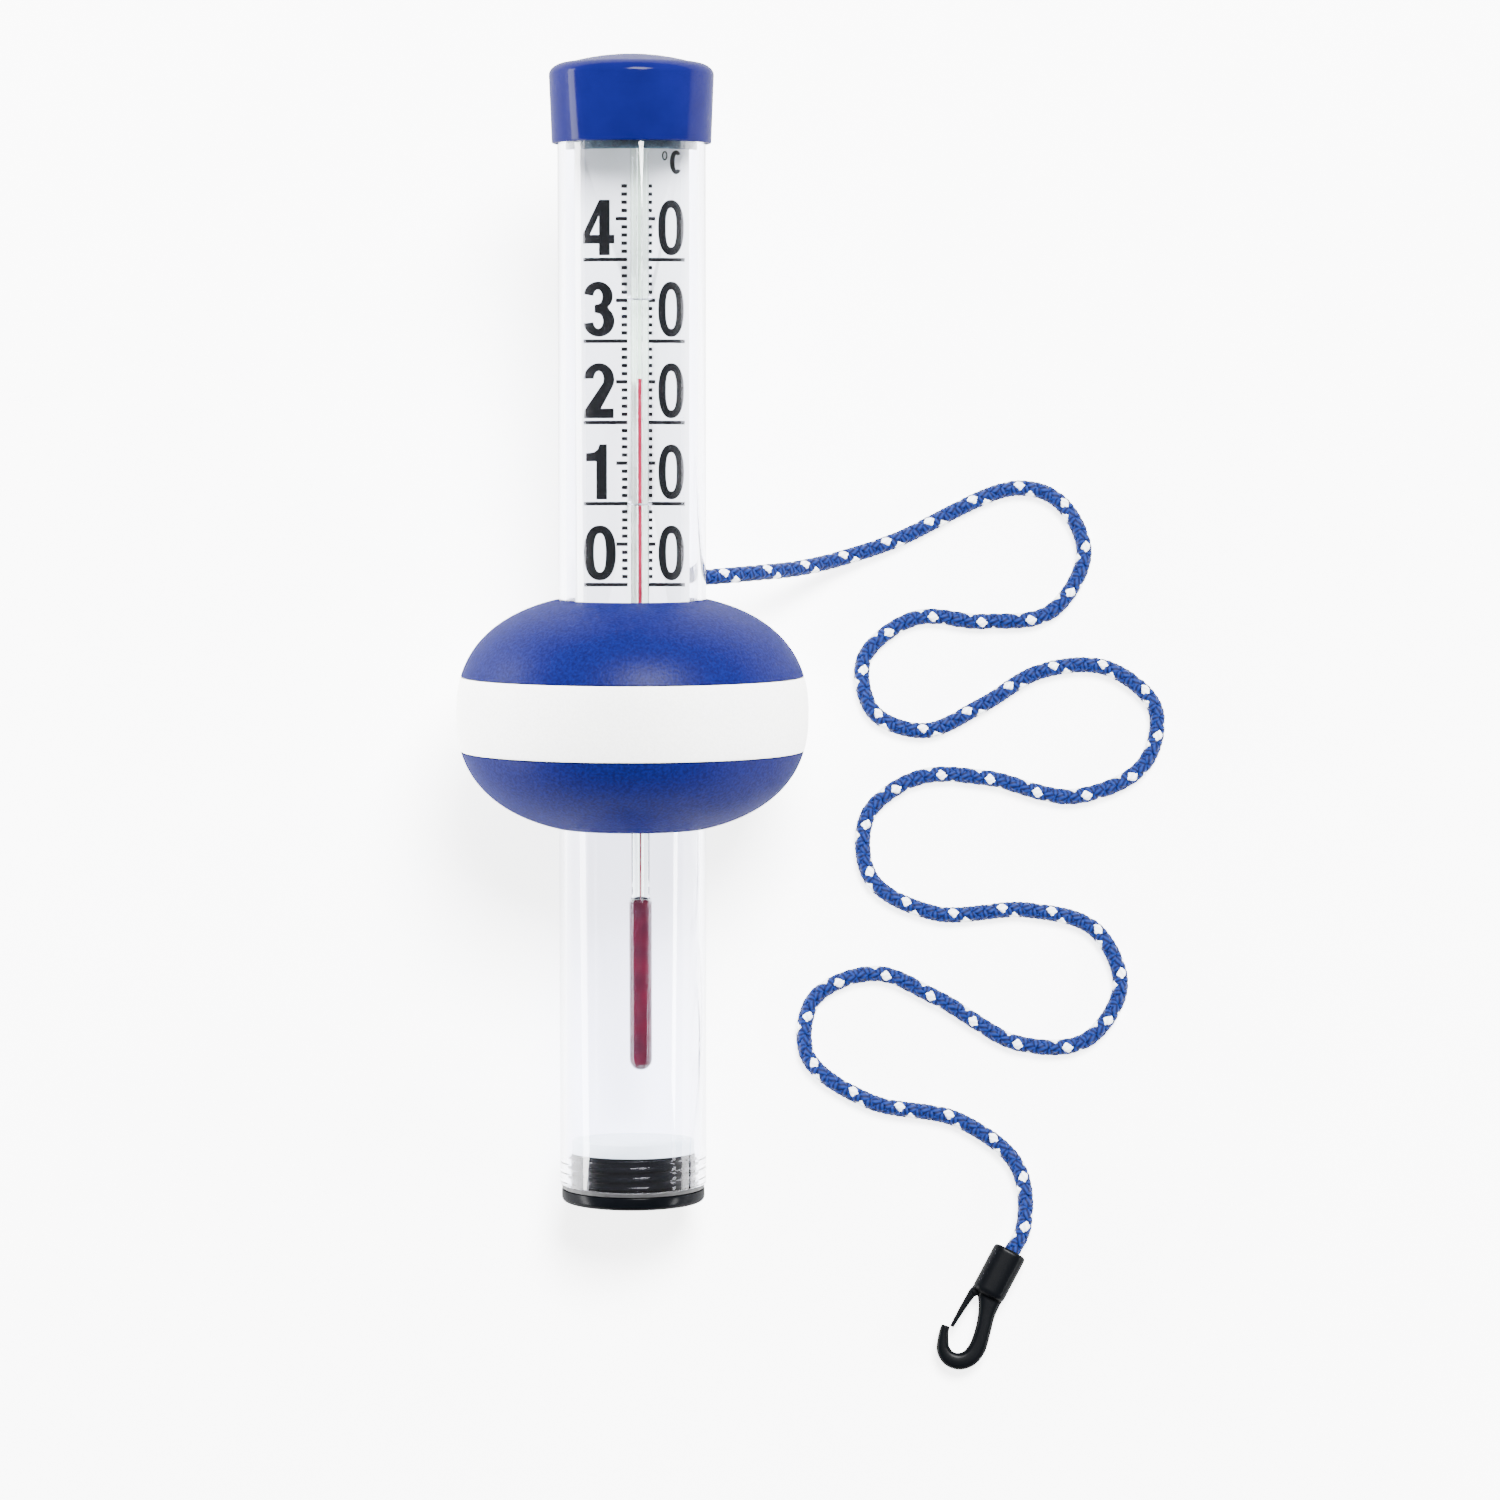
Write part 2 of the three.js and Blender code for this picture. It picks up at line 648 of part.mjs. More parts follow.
function spiritThread() {
  const top = ZERO_MARK - COLUMN_TOP - GAP;
  const wire = rod(THREAD_OF_SPIRIT_RADIUS, reservoirBoreFloor + GAP, top, 8);
  return piece("spirit_thread", wire, redSpirit);
}

function spiritColumn() {
  const roof = columnTop - COLUMN_TOP;
  const profile = [
    [0, columnTop],
    [COLUMN_RADIUS, columnTop],
    [COLUMN_RADIUS, columnBottom],
    [COLUMN_BORE, columnBottom],
    [COLUMN_BORE, roof],
    [0, roof],
  ];
  return piece("spirit_column", turn(profile, 10), redColumn);
}

function thermometerPieces() {
  const group = new THREE.Group();
  group.position.set(STEM_X, stemY, 0);
  group.add(glassStem(), spiritReservoir(), spiritThread(), spiritColumn());
  return group;
}

// ---- The thermometer as it lies ----

// How far the plug's rounded edge and the float reach below the tube's axis at this tilt.
function plugReach(tilt) {
  const inner = plugRadius - PLUG_EDGE;
  return inner * Math.cos(tilt) - PLUG_EDGE * Math.sin(tilt) + PLUG_EDGE;
}

function floatReach(tilt) {
  const dual = FLOAT_POWER / (FLOAT_POWER - 1);
  const across = (FLOAT_RADIUS * Math.cos(tilt)) ** dual;
  const along = (FLOAT_HALF_HEIGHT * Math.sin(tilt)) ** dual;
  return (across + along) ** (1 / dual);
}

// The tube's rise from the floor when it lies on the plug's edge and on the float.
function restingTilt() {
  let low = 0;
  let high = Math.PI / 4;
  for (let i = 0; i < 40; i++) {
    const tilt = (low + high) / 2;
    const floatIsLow = FLOAT_CENTRE * Math.sin(tilt) + plugReach(tilt) < floatReach(tilt);
    if (floatIsLow) low = tilt;
    else high = tilt;
  }
  return (low + high) / 2;
}

function thermometer() {
  const group = new THREE.Group();
  group.add(outerTube(), bottomPlug(), plugGasket(), ballastWeight());
  group.add(topCap(), capGasket(), floatPieces(), scalePlate());
  group.add(holder("upper_holder", upperHolderBottom));
  group.add(holder("lower_holder", lowerHolderBottom));
  for (const [name, degrees] of Object.entries(TIE_MARKS)) group.add(tieWire(name, degrees));
  group.add(thermometerPieces());
  group.rotation.x = restingTilt() - Math.PI / 2;
  const box = new THREE.Box3().setFromObject(group, true);
  group.position.set(0, -(box.min.y + box.max.y) / 2, -box.min.z);
  group.updateMatrix();
  return group;
}

// ---- Rope, knots and hook ----

const body = thermometer();
const hole = new THREE.Vector3(0, lugY, FLOAT_CENTRE + lugZ).applyMatrix4(body.matrix);
const ropeStart = new THREE.Vector3(-LUG_THICKNESS / 2 - ROPE_STARTS, hole.y, hole.z);
const route = new THREE.CatmullRomCurve3(
  [
    ropeStart,
    new THREE.Vector3(ROPE_LEAD, hole.y, hole.z),
    ...ROPE_ROUTE.map(([x, y, z]) => new THREE.Vector3(x, hole.y + y, z)),
  ],
  false,
  "centripetal",
);
const ropeEnd = route.points.at(-1);
const ropeDirection = ropeEnd.clone().sub(route.points.at(-2)).normalize();

function rope() {
  const section = new THREE.Shape().absarc(0, 0, ROPE_RADIUS, 0, 2 * Math.PI);
  const tube = new THREE.ExtrudeGeometry(section, {
    steps: ROPE_STEPS,
    extrudePath: route,
    curveSegments: ROPE_SIDES / 2,
    bevelEnabled: false,
  });
  return piece("rope", tube, blueRope);
}

// A tight stopper knot, as the egg that it fills.
function knot(name, { radius, length }) {
  return piece(name, new THREE.SphereGeometry(radius, 12, 8).scale(1, length / radius / 2, 1), blueRope);
}

function lugKnot() {
  const mesh = knot("lug_knot", LUG_KNOT);
  mesh.rotation.z = Math.PI / 2;
  mesh.position.set(ropeStart.x - GAP - LUG_KNOT.length / 2, ropeStart.y, ropeStart.z);
  return mesh;
}

// A flat bar along a centre line whose half width changes: [x, y, half width] points.
function taperedBar(stations, thickness, bevel, steps) {
  const line = new THREE.CatmullRomCurve3(
    stations.map(([x, y, half]) => new THREE.Vector3(x, y, half)),
    false,
    "centripetal",
  );
  const left = [];
  const right = [];
  for (let i = 0; i <= steps; i++) {
    const { x, y, z: half } = line.getPoint(i / steps);
    const ahead = line.getTangent(i / steps).setZ(0).normalize();
    left.push(new THREE.Vector2(x - ahead.y * (half - bevel), y + ahead.x * (half - bevel)));
    right.unshift(new THREE.Vector2(x + ahead.y * (half - bevel), y - ahead.x * (half - bevel)));
  }
  const bar = new THREE.ExtrudeGeometry(new THREE.Shape([...left, ...right]), {
    depth: thickness - 2 * bevel,
    bevelThickness: bevel,
    bevelSize: bevel,
    bevelSegments: 2,
  });
  return bar.translate(0, 0, bevel - thickness / 2);
}

function hookBody() {
  const bore = ROPE_RADIUS + SLEEVE_CLEARANCE;
  const chamber = HOOK_KNOT.radius + GAP;
  const chamberEnd = CHAMBER_START + HOOK_KNOT.length + 2 * GAP;
  const profile = [
    [0, chamberEnd],
    [chamber, chamberEnd],
    [chamber, CHAMBER_START],
    [bore, CHAMBER_START],
    [bore, 0],
    ...arc(SLEEVE_RADIUS - SLEEVE_EDGE, SLEEVE_EDGE, SLEEVE_EDGE, -90, 0, 2),
    ...arc(SLEEVE_RADIUS - SLEEVE_EDGE, SLEEVE_LENGTH - SLEEVE_EDGE, SLEEVE_EDGE, 0, 90, 2),
    [0, SLEEVE_LENGTH],
  ];
  const sleeve = solid(turn(profile, 24).rotateX(-Math.PI / 2));
  const hollow = solid(rod(chamber, CHAMBER_START, chamberEnd, 24).rotateX(-Math.PI / 2));
  const bar = solid(taperedBar(HOOK_LINE, HOOK_THICKNESS, HOOK_BEVEL, 26));
  // The knot goes into its chamber through a window in the sleeve's underside.
  const window = new THREE.BoxGeometry(2 * (chamber - WINDOW_INSET), HOOK_KNOT.length, 2 * SLEEVE_RADIUS);
  window.translate(0, (CHAMBER_START + chamberEnd) / 2, -SLEEVE_RADIUS);
  const cast = sleeve.add(bar.subtract(hollow)).subtract(solid(window));
  return piece("hook_body", geometryOf(cast), blackGloss);
}

function hookGate() {
  const mesh = piece("hook_gate", taperedBar(GATE_LINE, GATE_THICKNESS, GATE_BEVEL, 8), blackGloss);
  mesh.position.set(...GATE_PIVOT, 0);
  return mesh;
}

function hookKnot() {
  const mesh = knot("hook_knot", HOOK_KNOT);
  mesh.position.y = CHAMBER_START + GAP + HOOK_KNOT.length / 2;
  return mesh;
}

function hook() {
  const group = new THREE.Group();
  group.add(hookBody(), hookGate(), hookKnot());
  group.rotation.z = Math.atan2(-ropeDirection.x, ropeDirection.y);
  group.position.copy(ropeEnd).addScaledVector(ropeDirection, -ROPE_IN_SLEEVE);
  return group;
}

const part = new THREE.Group();
part.name = "pool_thermometer";
part.add(body, rope(), lugKnot(), hook());

export default part;
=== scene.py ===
import json
import math

import bmesh
import bpy
from mathutils import Matrix, Vector


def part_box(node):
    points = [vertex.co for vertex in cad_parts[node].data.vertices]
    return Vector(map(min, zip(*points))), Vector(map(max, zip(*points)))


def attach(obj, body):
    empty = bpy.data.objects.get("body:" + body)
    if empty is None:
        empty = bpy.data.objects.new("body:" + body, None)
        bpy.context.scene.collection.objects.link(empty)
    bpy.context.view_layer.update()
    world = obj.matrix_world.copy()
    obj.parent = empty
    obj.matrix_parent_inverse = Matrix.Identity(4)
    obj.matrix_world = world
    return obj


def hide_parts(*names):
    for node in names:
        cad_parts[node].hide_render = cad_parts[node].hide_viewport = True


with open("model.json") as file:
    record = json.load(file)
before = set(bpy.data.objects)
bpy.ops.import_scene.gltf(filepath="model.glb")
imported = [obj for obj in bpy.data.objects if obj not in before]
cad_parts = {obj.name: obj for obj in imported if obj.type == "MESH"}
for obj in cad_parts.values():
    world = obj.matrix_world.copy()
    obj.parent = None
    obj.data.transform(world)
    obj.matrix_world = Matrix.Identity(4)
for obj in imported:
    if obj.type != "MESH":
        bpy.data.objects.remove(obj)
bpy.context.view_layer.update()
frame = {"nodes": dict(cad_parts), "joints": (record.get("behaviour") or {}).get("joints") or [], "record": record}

# Floating pool thermometer on a pale floor. Metres, in the CAD model's frame: +Z up, +Y towards
# the cap's end. Most pieces are made in the tube's own frame, with Z up the tube from the plug's
# lower face, X to the right of the scale and Y to its back, and then laid down.

MM = 0.001

# ---- Sizes, worked out from the frame ----

JOINTS = {joint["name"]: joint for joint in frame["joints"]}
MOUNTS = {mount["name"]: mount for mount in frame["record"]["mounts"]}
ACROSS = Vector((1, 0, 0))
ALONG = Vector(JOINTS["cap_pull"]["axis"]).normalized()
FOOT = Vector(MOUNTS["plug_face"]["pos_m"])
TUBE_TURN = Matrix((ACROSS, ALONG.cross(ACROSS), ALONG)).transposed().to_4x4()
TUBE = Matrix.Translation(FOOT) @ TUBE_TURN


class Measured:
    """A CAD node's box in the tube's frame, and its widest radius round the tube's axis."""

    def __init__(self, name):
        inverse = TUBE.inverted()
        points = [inverse @ vertex.co for vertex in frame["nodes"][name].data.vertices]
        self.low = Vector([min(p[i] for p in points) for i in range(3)])
        self.high = Vector([max(p[i] for p in points) for i in range(3)])
        self.middle = (self.low + self.high) / 2
        self.radius = max(math.hypot(p.x, p.y) for p in points)


tube_size = Measured("outer_tube")
cap_size = Measured("top_cap")
plug_size = Measured("bottom_plug")
weight_size = Measured("ballast_weight")
upper_size = Measured("float_upper_shell")
band_size = Measured("float_band")
plate_size = Measured("scale_plate")
stem_size = Measured("glass_stem")
column_size = Measured("spirit_column")
low_tie = Measured("stem_tie_lower")
high_tie = Measured("stem_tie_upper")

GAP = 0.3 * MM
SIDES = 128  # of a large turned piece
SMALL_SIDES = 40

TUBE_WALL = 2.3 * MM
TUBE_RADIUS = tube_size.radius
TUBE_BORE = TUBE_RADIUS - TUBE_WALL
TUBE_BOTTOM = tube_size.low.z
TUBE_TOP = tube_size.high.z
THREAD_PITCH = 3 * MM
THREAD_LENGTH = 9.6 * MM
THREAD_DEPTH = 1 * MM
TUBE_THREAD_DEPTH = 0.12 * MM  # the tube's own thread is shallow, so the plug shows through it
COLLAR_BORE = TUBE_RADIUS + GAP

FLOAT_RADIUS = band_size.radius
FLOAT_POWER = 2.4
FLOAT_CENTRE = band_size.middle.z
FLOAT_HALF_HEIGHT = 37 * MM
FLOAT_WALL = 2.2 * MM
BAND_HALF_HEIGHT = (band_size.high.z - band_size.low.z) / 2

LOW_TIE_DEGREES = 10  # the ties cross the scale at these degrees
HIGH_TIE_DEGREES = 35.2
DEGREE = (high_tie.middle.z - low_tie.middle.z) / (HIGH_TIE_DEGREES - LOW_TIE_DEGREES)
ZERO_MARK = low_tie.middle.z - LOW_TIE_DEGREES * DEGREE
STEM_X = stem_size.middle.x
STEM_Y = stem_size.middle.y

ROPE_RADIUS = 2.5 * MM
ROPE_IN_SLEEVE = 6 * MM
BRAID_PITCH = 15.5 * MM
BRAID_STEP = 0.65 * MM
KNOT_STEP = 0.5 * MM

# The rope's route after the lug, as (x, y from the lug's hole, z): down to the floor, in bends
# over the floor, and into the hook's sleeve.
ROPE_BENDS = [
    (0.036, 0.003, 0.027), (0.052, 0.007, 0.015), (0.066, 0.012, 0.0065),
    (0.082, 0.018, 0.0032), (0.12, 0.035, 0.0027), (0.134, 0.031, 0.0027),
    (0.142, 0.014, 0.0027), (0.131, -0.005, 0.0027), (0.11, -0.008, 0.0027),
    (0.088, -0.007, 0.0027), (0.072, -0.02, 0.0027), (0.075, -0.037, 0.0027),
    (0.091, -0.043, 0.0027), (0.109, -0.035, 0.0027), (0.128, -0.024, 0.0027),
    (0.149, -0.023, 0.0027), (0.164, -0.036, 0.0027), (0.16, -0.054, 0.0027),
    (0.138, -0.064, 0.0027), (0.11, -0.058, 0.0027), (0.089, -0.058, 0.0027),
    (0.073, -0.07, 0.0027), (0.074, -0.09, 0.0027), (0.094, -0.101, 0.0027),
    (0.123, -0.1, 0.0027), (0.144, -0.106, 0.0027), (0.152, -0.124, 0.0027),
    (0.141, -0.141, 0.0027), (0.12, -0.142, 0.0027), (0.095, -0.128, 0.0027),
    (0.075, -0.12, 0.0027), (0.056, -0.128, 0.0027), (0.054, -0.146, 0.0027),
    (0.073, -0.16, 0.0027), (0.101, -0.166, 0.0027), (0.119, -0.18, 0.003),
    (0.121, -0.199, 0.0049), (0.114, -0.212, 0.0049),
]
ROPE_LEAD = 0.017  # the straight stretch out of the lug

knot_low, knot_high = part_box("lug_knot")
LUG_HOLE = (knot_low + knot_high) / 2
ROPE_START = Vector((knot_high.x + GAP, LUG_HOLE.y, LUG_HOLE.z))
ROPE_POINTS = [
    ROPE_START,
    Vector((ROPE_LEAD, LUG_HOLE.y, LUG_HOLE.z)),
    *[Vector((x, LUG_HOLE.y + y, z)) for x, y, z in ROPE_BENDS],
]

# The hook's frame: Y from the sleeve's mouth to the bend, X towards the hook's tip.
hook_along = (ROPE_POINTS[-1] - ROPE_POINTS[-2]).normalized()
hook_across = Vector((hook_along.y, -hook_along.x, 0))
HOOK = (
    Matrix.Translation(ROPE_POINTS[-1] - ROPE_IN_SLEEVE * hook_along)
    @ Matrix((hook_across, hook_along, Vector((0, 0, 1)))).transposed().to_4x4()
)

# ---- Making meshes ----


def in_scene(name, data):
    """A new object, put in the scene."""
    made = bpy.data.objects.new(name, data)
    bpy.context.scene.collection.objects.link(made)
    return made


def piece(name, mesh, material, body, place=TUBE, replaces=()):
    """A finished piece: its place goes into its mesh, and it rides on its body."""
    mesh.transform(place)
    mesh.materials.clear()
    for one in material if isinstance(material, (list, tuple)) else [material]:
        mesh.materials.append(one)
    made = in_scene(name, mesh)
    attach(made, body)
    if replaces:
        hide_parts(*replaces)
    return made


def arc(centre_r, centre_z, radius, start, end, steps):
    """Points (r, z) on an arc, from one angle in degrees to another."""
    angles = [math.radians(start + (end - start) * i / steps) for i in range(steps + 1)]
    return [(centre_r + radius * math.cos(a), centre_z + radius * math.sin(a)) for a in angles]


def shade(bm, crease=35):
    """Smooth faces with sharp edges where the surface turns by more than the crease, in degrees."""
    for face in bm.faces:
        face.smooth = True
    for edge in bm.edges:
        edge.smooth = len(edge.link_faces) != 2 or edge.calc_face_angle(0) < math.radians(crease)


def soften(bm, width, segments=3, crease=35):
    """Rounds every edge where the surface turns by more than the crease."""
    limit = math.radians(crease)
    sharp = [e for e in bm.edges if len(e.link_faces) == 2 and e.calc_face_angle(0) > limit]
    bmesh.ops.bevel(
        bm, geom=sharp, offset=width, offset_type="OFFSET", affect="EDGES", segments=segments,
        profile=0.5, material=-1, clamp_overlap=True,
    )


def turned_bmesh(profile, sides, closed):
    """A profile of (r, z) points spun round the Z axis. A ring's profile is closed."""
    bm = bmesh.new()
    points = [bm.verts.new((r, 0, z)) for r, z in profile]
    pairs = list(zip(points, points[1:]))
    if closed:
        pairs.append((points[-1], points[0]))
    edges = [bm.edges.new(pair) for pair in pairs]
    bmesh.ops.spin(
        bm, geom=points + edges, cent=(0, 0, 0), axis=(0, 0, 1), angle=2 * math.pi, steps=sides,
        use_merge=True,
    )
    bmesh.ops.remove_doubles(bm, verts=bm.verts, dist=1e-6)
    bmesh.ops.recalc_face_normals(bm, faces=bm.faces)
    return bm


def mesh_of(bm, name, crease=35):
    """A shaded mesh from a bmesh, which is freed."""
    shade(bm, crease)
    mesh = bpy.data.meshes.new(name)
    bm.to_mesh(mesh)
    bm.free()
    return mesh


def turned(name, profile, sides=SIDES, closed=False, rounding=0.0, carve=None):
    """A turned mesh, carved by a function of each vertex, then its sharp edges rounded."""
    bm = turned_bmesh(profile, sides, closed)
    if carve:
        for vertex in bm.verts:
            carve(vertex)
    if rounding:
        soften(bm, rounding)
    return mesh_of(bm, name)


def box_bmesh(low, high):
    """A box between two corners."""
    bm = bmesh.new()
    size = [b - a for a, b in zip(low, high)]
    middle = [(a + b) / 2 for a, b in zip(low, high)]
    place = Matrix.Translation(middle) @ Matrix.Diagonal((*size, 1))
    bmesh.ops.create_cube(bm, size=1, matrix=place)
    return bm


def combined(name, first, second, operation):
    """One mesh from two closed ones, by a boolean."""
    base = in_scene(name, first)
    tool = in_scene("tool", second)
    cut = base.modifiers.new("cut", "BOOLEAN")
    cut.operation = operation
    cut.object = tool
    cut.solver = "EXACT"
    mesh = evaluated(base, name)
    bpy.data.objects.remove(tool)
    bpy.data.objects.remove(base)
    return mesh


def drilled(name, mesh, place, radius, depth, segments):
    """The mesh with a round hole through it."""
    drill = bmesh.new()
    bmesh.ops.create_cone(
        drill, cap_ends=True, segments=segments, radius1=radius, radius2=radius, depth=depth,
        matrix=place,
    )
    return combined(name, mesh, mesh_of(drill, "drill"), "DIFFERENCE")


def evaluated(made, name):
    """The mesh an object has after its modifiers."""
    bpy.context.view_layer.update()
    mesh = bpy.data.meshes.new_from_object(made.evaluated_get(bpy.context.evaluated_depsgraph_get()))
    mesh.name = name
    return mesh


# ---- Making materials ----


def linear(code, alpha=1.0):
    """An sRGB hex colour as linear values."""
    shares = [int(code[i : i + 2], 16) / 255 for i in (0, 2, 4)]
    return (*[c / 12.92 if c <= 0.04045 else ((c + 0.055) / 1.055) ** 2.4 for c in shares], alpha)


def add(tree, kind, settings=None, links=None):
    """Adds a node, sets its properties and sockets, and links its inputs."""
    node = tree.nodes.new("ShaderNode" + kind)
    for key, value in (settings or {}).items():
        if isinstance(key, str) and hasattr(node, key):
            setattr(node, key, value)
        else:
            node.inputs[key].default_value = value
    for key, source in (links or {}).items():
        tree.links.new(source, node.inputs[key])
    return node


def surface(name, settings):
    """A material with one Principled shader, and the object's own coordinates."""
    material = bpy.data.materials.new(name)
    material.use_nodes = True
    tree = material.node_tree
    tree.nodes.clear()
    shader = add(tree, "BsdfPrincipled", settings)
    add(tree, "OutputMaterial", links={"Surface": shader.outputs[0]})
    place = add(tree, "TexCoord").outputs["Object"]
    return material, tree, shader, place


def noise(tree, place, size, detail=2.0):
    """Noise with features of this size in metres."""
    settings = {"Scale": 1 / size, "Detail": detail}
    return add(tree, "TexNoise", settings, {"Vector": place}).outputs["Fac"]


def spread(tree, value, low, high, start=0.3, end=0.7):
    """The value's middle stretch, spread from low to high."""
    settings = {"From Min": start, "From Max": end, "To Min": low, "To Max": high}
    return add(tree, "MapRange", settings, {"Value": value}).outputs["Result"]


# The Mix node's sockets for colours: share, first, second and result.
MIX_SHARE, MIX_FIRST, MIX_SECOND, MIX_RESULT = 0, 6, 7, 2


def tint(tree, shader, value, first, second, start=0.3, end=0.7):
    """Gives the shader a colour between two, by the value."""
    share = spread(tree, value, 0.0, 1.0, start, end)
    settings = {"data_type": "RGBA", MIX_FIRST: linear(first), MIX_SECOND: linear(second)}
    mixed = add(tree, "Mix", settings, {MIX_SHARE: share}).outputs[MIX_RESULT]
    tree.links.new(mixed, shader.inputs["Base Color"])


def roughen(tree, shader, value, low, high):
    """Gives the shader a roughness between two, by the value."""
    tree.links.new(spread(tree, value, low, high), shader.inputs["Roughness"])


def bump(tree, shader, height, depth, strength=1.0):
    """Lets a height pattern, 0 to 1, turn the surface by a relief of this depth in metres."""
    settings = {"Strength": strength, "Distance": depth}
    node = add(tree, "Bump", settings, {"Height": height})
    tree.links.new(node.outputs["Normal"], shader.inputs["Normal"])
    tree.links.new(node.outputs["Normal"], shader.inputs["Coat Normal"])


def skin(gloss, roughness):
    """Settings for a dyed body under a thin glossy skin, which keeps its colour deep to its edges."""
    return {
        "Roughness": roughness, "Specular IOR Level": 0.0, "Coat Weight": gloss,
        "Coat Roughness": roughness, "Coat IOR": 1.49,
    }


def lets_light_through(material, tree, shader, tone):
    """Lamps and soft light pass straight through a clear piece, toned, instead of being lost."""
    path = add(tree, "LightPath")
    either = add(
        tree, "Math", {"operation": "MAXIMUM"},
        {0: path.outputs["Is Shadow Ray"], 1: path.outputs["Is Diffuse Ray"]},
    )
    straight = add(tree, "BsdfTransparent", {"Color": linear(tone)})
    mixed = add(
        tree, "MixShader", None,
        {0: either.outputs[0], 1: shader.outputs[0], 2: straight.outputs[0]},
    )
    output = next(n for n in tree.nodes if n.type == "OUTPUT_MATERIAL")
    tree.links.new(mixed.outputs[0], output.inputs["Surface"])


# ---- Materials ----


def clear_acrylic():
    """Extruded acrylic tube, polished: clear and glossy, with faint handling haze."""
    material, tree, shader, place = surface(
        "clear extruded acrylic",
        {"Base Color": linear("F1F2FA"), "IOR": 1.49, "Transmission Weight": 1.0, "Roughness": 0.02},
    )
    haze = noise(tree, place, 9 * MM, 4.0)
    roughen(tree, shader, haze, 0.01, 0.045)
    bump(tree, shader, noise(tree, place, 14 * MM), 0.006 * MM)
    lets_light_through(material, tree, shader, "FAFBFF")
    return material


def drawn_glass():
    """Drawn thermometer glass: clear, with a faint green body and a slight waviness."""
    material, tree, shader, place = surface(
        "drawn clear glass",
        {"Base Color": linear("F3FAF1"), "IOR": 1.47, "Transmission Weight": 1.0, "Roughness": 0.0},
    )
    bump(tree, shader, noise(tree, place, 12 * MM), 0.004 * MM)
    lets_light_through(material, tree, shader, "F6FAF5")
    return material


def gloss_plastic(name, deep, light, roughness):
    """Injection-moulded plastic from a polished mould: glossy, with faint flow marks and waviness."""
    material, tree, shader, place = surface(name, skin(0.08, roughness))
    flow = noise(tree, place, 12 * MM, 3.0)
    tint(tree, shader, flow, deep, light)
    roughen(tree, shader, flow, roughness * 0.8, roughness * 1.25)
    bump(tree, shader, noise(tree, place, 2.5 * MM), 0.008 * MM)
    return material


def grained_plastic(name, deep, light, roughness):
    """Plastic moulded in a spark-eroded mould: fine even grain, drawn 0.8 mm coarse so that it shows."""
    material, tree, shader, place = surface(name, skin(0.09, roughness))
    grain = noise(tree, place, 0.8 * MM, 2.0)
    tint(tree, shader, grain, deep, light, 0.35, 0.65)
    roughen(tree, shader, grain, roughness * 1.2, roughness * 0.8)
    bump(tree, shader, grain, 0.14 * MM, 0.8)
    return material


def seal_rubber():
    """Moulded seal rubber: matt black with a dusty bloom."""
    material, tree, shader, place = surface("black seal rubber", {"IOR": 1.5, "Roughness": 0.65})
    bloom = noise(tree, place, 1.5 * MM, 4.0)
    tint(tree, shader, bloom, "0B0B0C", "1C1C1E")
    bump(tree, shader, bloom, 0.02 * MM)
    return material


def lacquered_steel():
    """Steel dipped in white lacquer: pale, satin and slightly uneven."""
    material, tree, shader, place = surface("steel in white lacquer", {"IOR": 1.5, "Roughness": 0.35})
    film = noise(tree, place, 4 * MM, 3.0)
    tint(tree, shader, film, "DCE8EA", "ECF3F4")
    roughen(tree, shader, film, 0.28, 0.42)
    bump(tree, shader, noise(tree, place, 1.2 * MM), 0.02 * MM)
    return material


def tie_steel():
    """Drawn steel wire: bright, with fine die lines."""
    material, tree, shader, place = surface("drawn steel wire", {"Metallic": 1.0, "Roughness": 0.3})
    lines = noise(tree, place, 0.3 * MM, 2.0)
    tint(tree, shader, lines, "A9ADB2", "D2D5D9")
    roughen(tree, shader, lines, 0.22, 0.4)
    return material


def plate_sheet():
    """White rigid PVC sheet: satin, with a very fine calendered grain."""
    material, tree, shader, place = surface("white satin PVC sheet", {"IOR": 1.53, "Roughness": 0.45})
    grain = noise(tree, place, 0.6 * MM, 3.0)
    tint(tree, shader, grain, "F8F8F4", "FEFEFB")
    roughen(tree, shader, grain, 0.4, 0.5)
    bump(tree, shader, grain, 0.01 * MM)
    return material


def printing_ink():
    """Screen-printed black ink: dense and satin, with a slightly uneven film."""
    material, tree, shader, place = surface(
        "screen-printed black ink", {"Specular IOR Level": 0.02, "Roughness": 0.6},
    )
    film = noise(tree, place, 0.7 * MM, 2.0)
    tint(tree, shader, film, "020203", "050608")
    bump(tree, shader, film, 0.005 * MM)
    return material


def dyed_spirit(name, deep, light):
    """Red dyed spirit in glass: wet, deep in the bulb and paler in the thin bore."""
    material, tree, shader, place = surface(name, {"IOR": 1.36, "Roughness": 0.08})
    dye = noise(tree, place, 6 * MM, 1.0)
    tint(tree, shader, dye, deep, light)
    return material


def foam_rubber_painted_shade():
    """Die-cut closed-cell foam for the stem's holders, matt and pitted. Its dark blue-green is painted shade: it
    stands for the cap's shadow where the upper holder shows just below the cap.
    """
    material, tree, shader, place = surface("closed-cell foam, dark as painted shade under the cap", {"IOR": 1.5, "Roughness": 0.9})
    cells = add(tree, "TexVoronoi", {"Scale": 1 / (0.9 * MM)}, {"Vector": place}).outputs["Distance"]
    tint(tree, shader, cells, "0D1A22", "1D333D", 0.1, 0.6)
    bump(tree, shader, cells, 0.15 * MM)
    return material


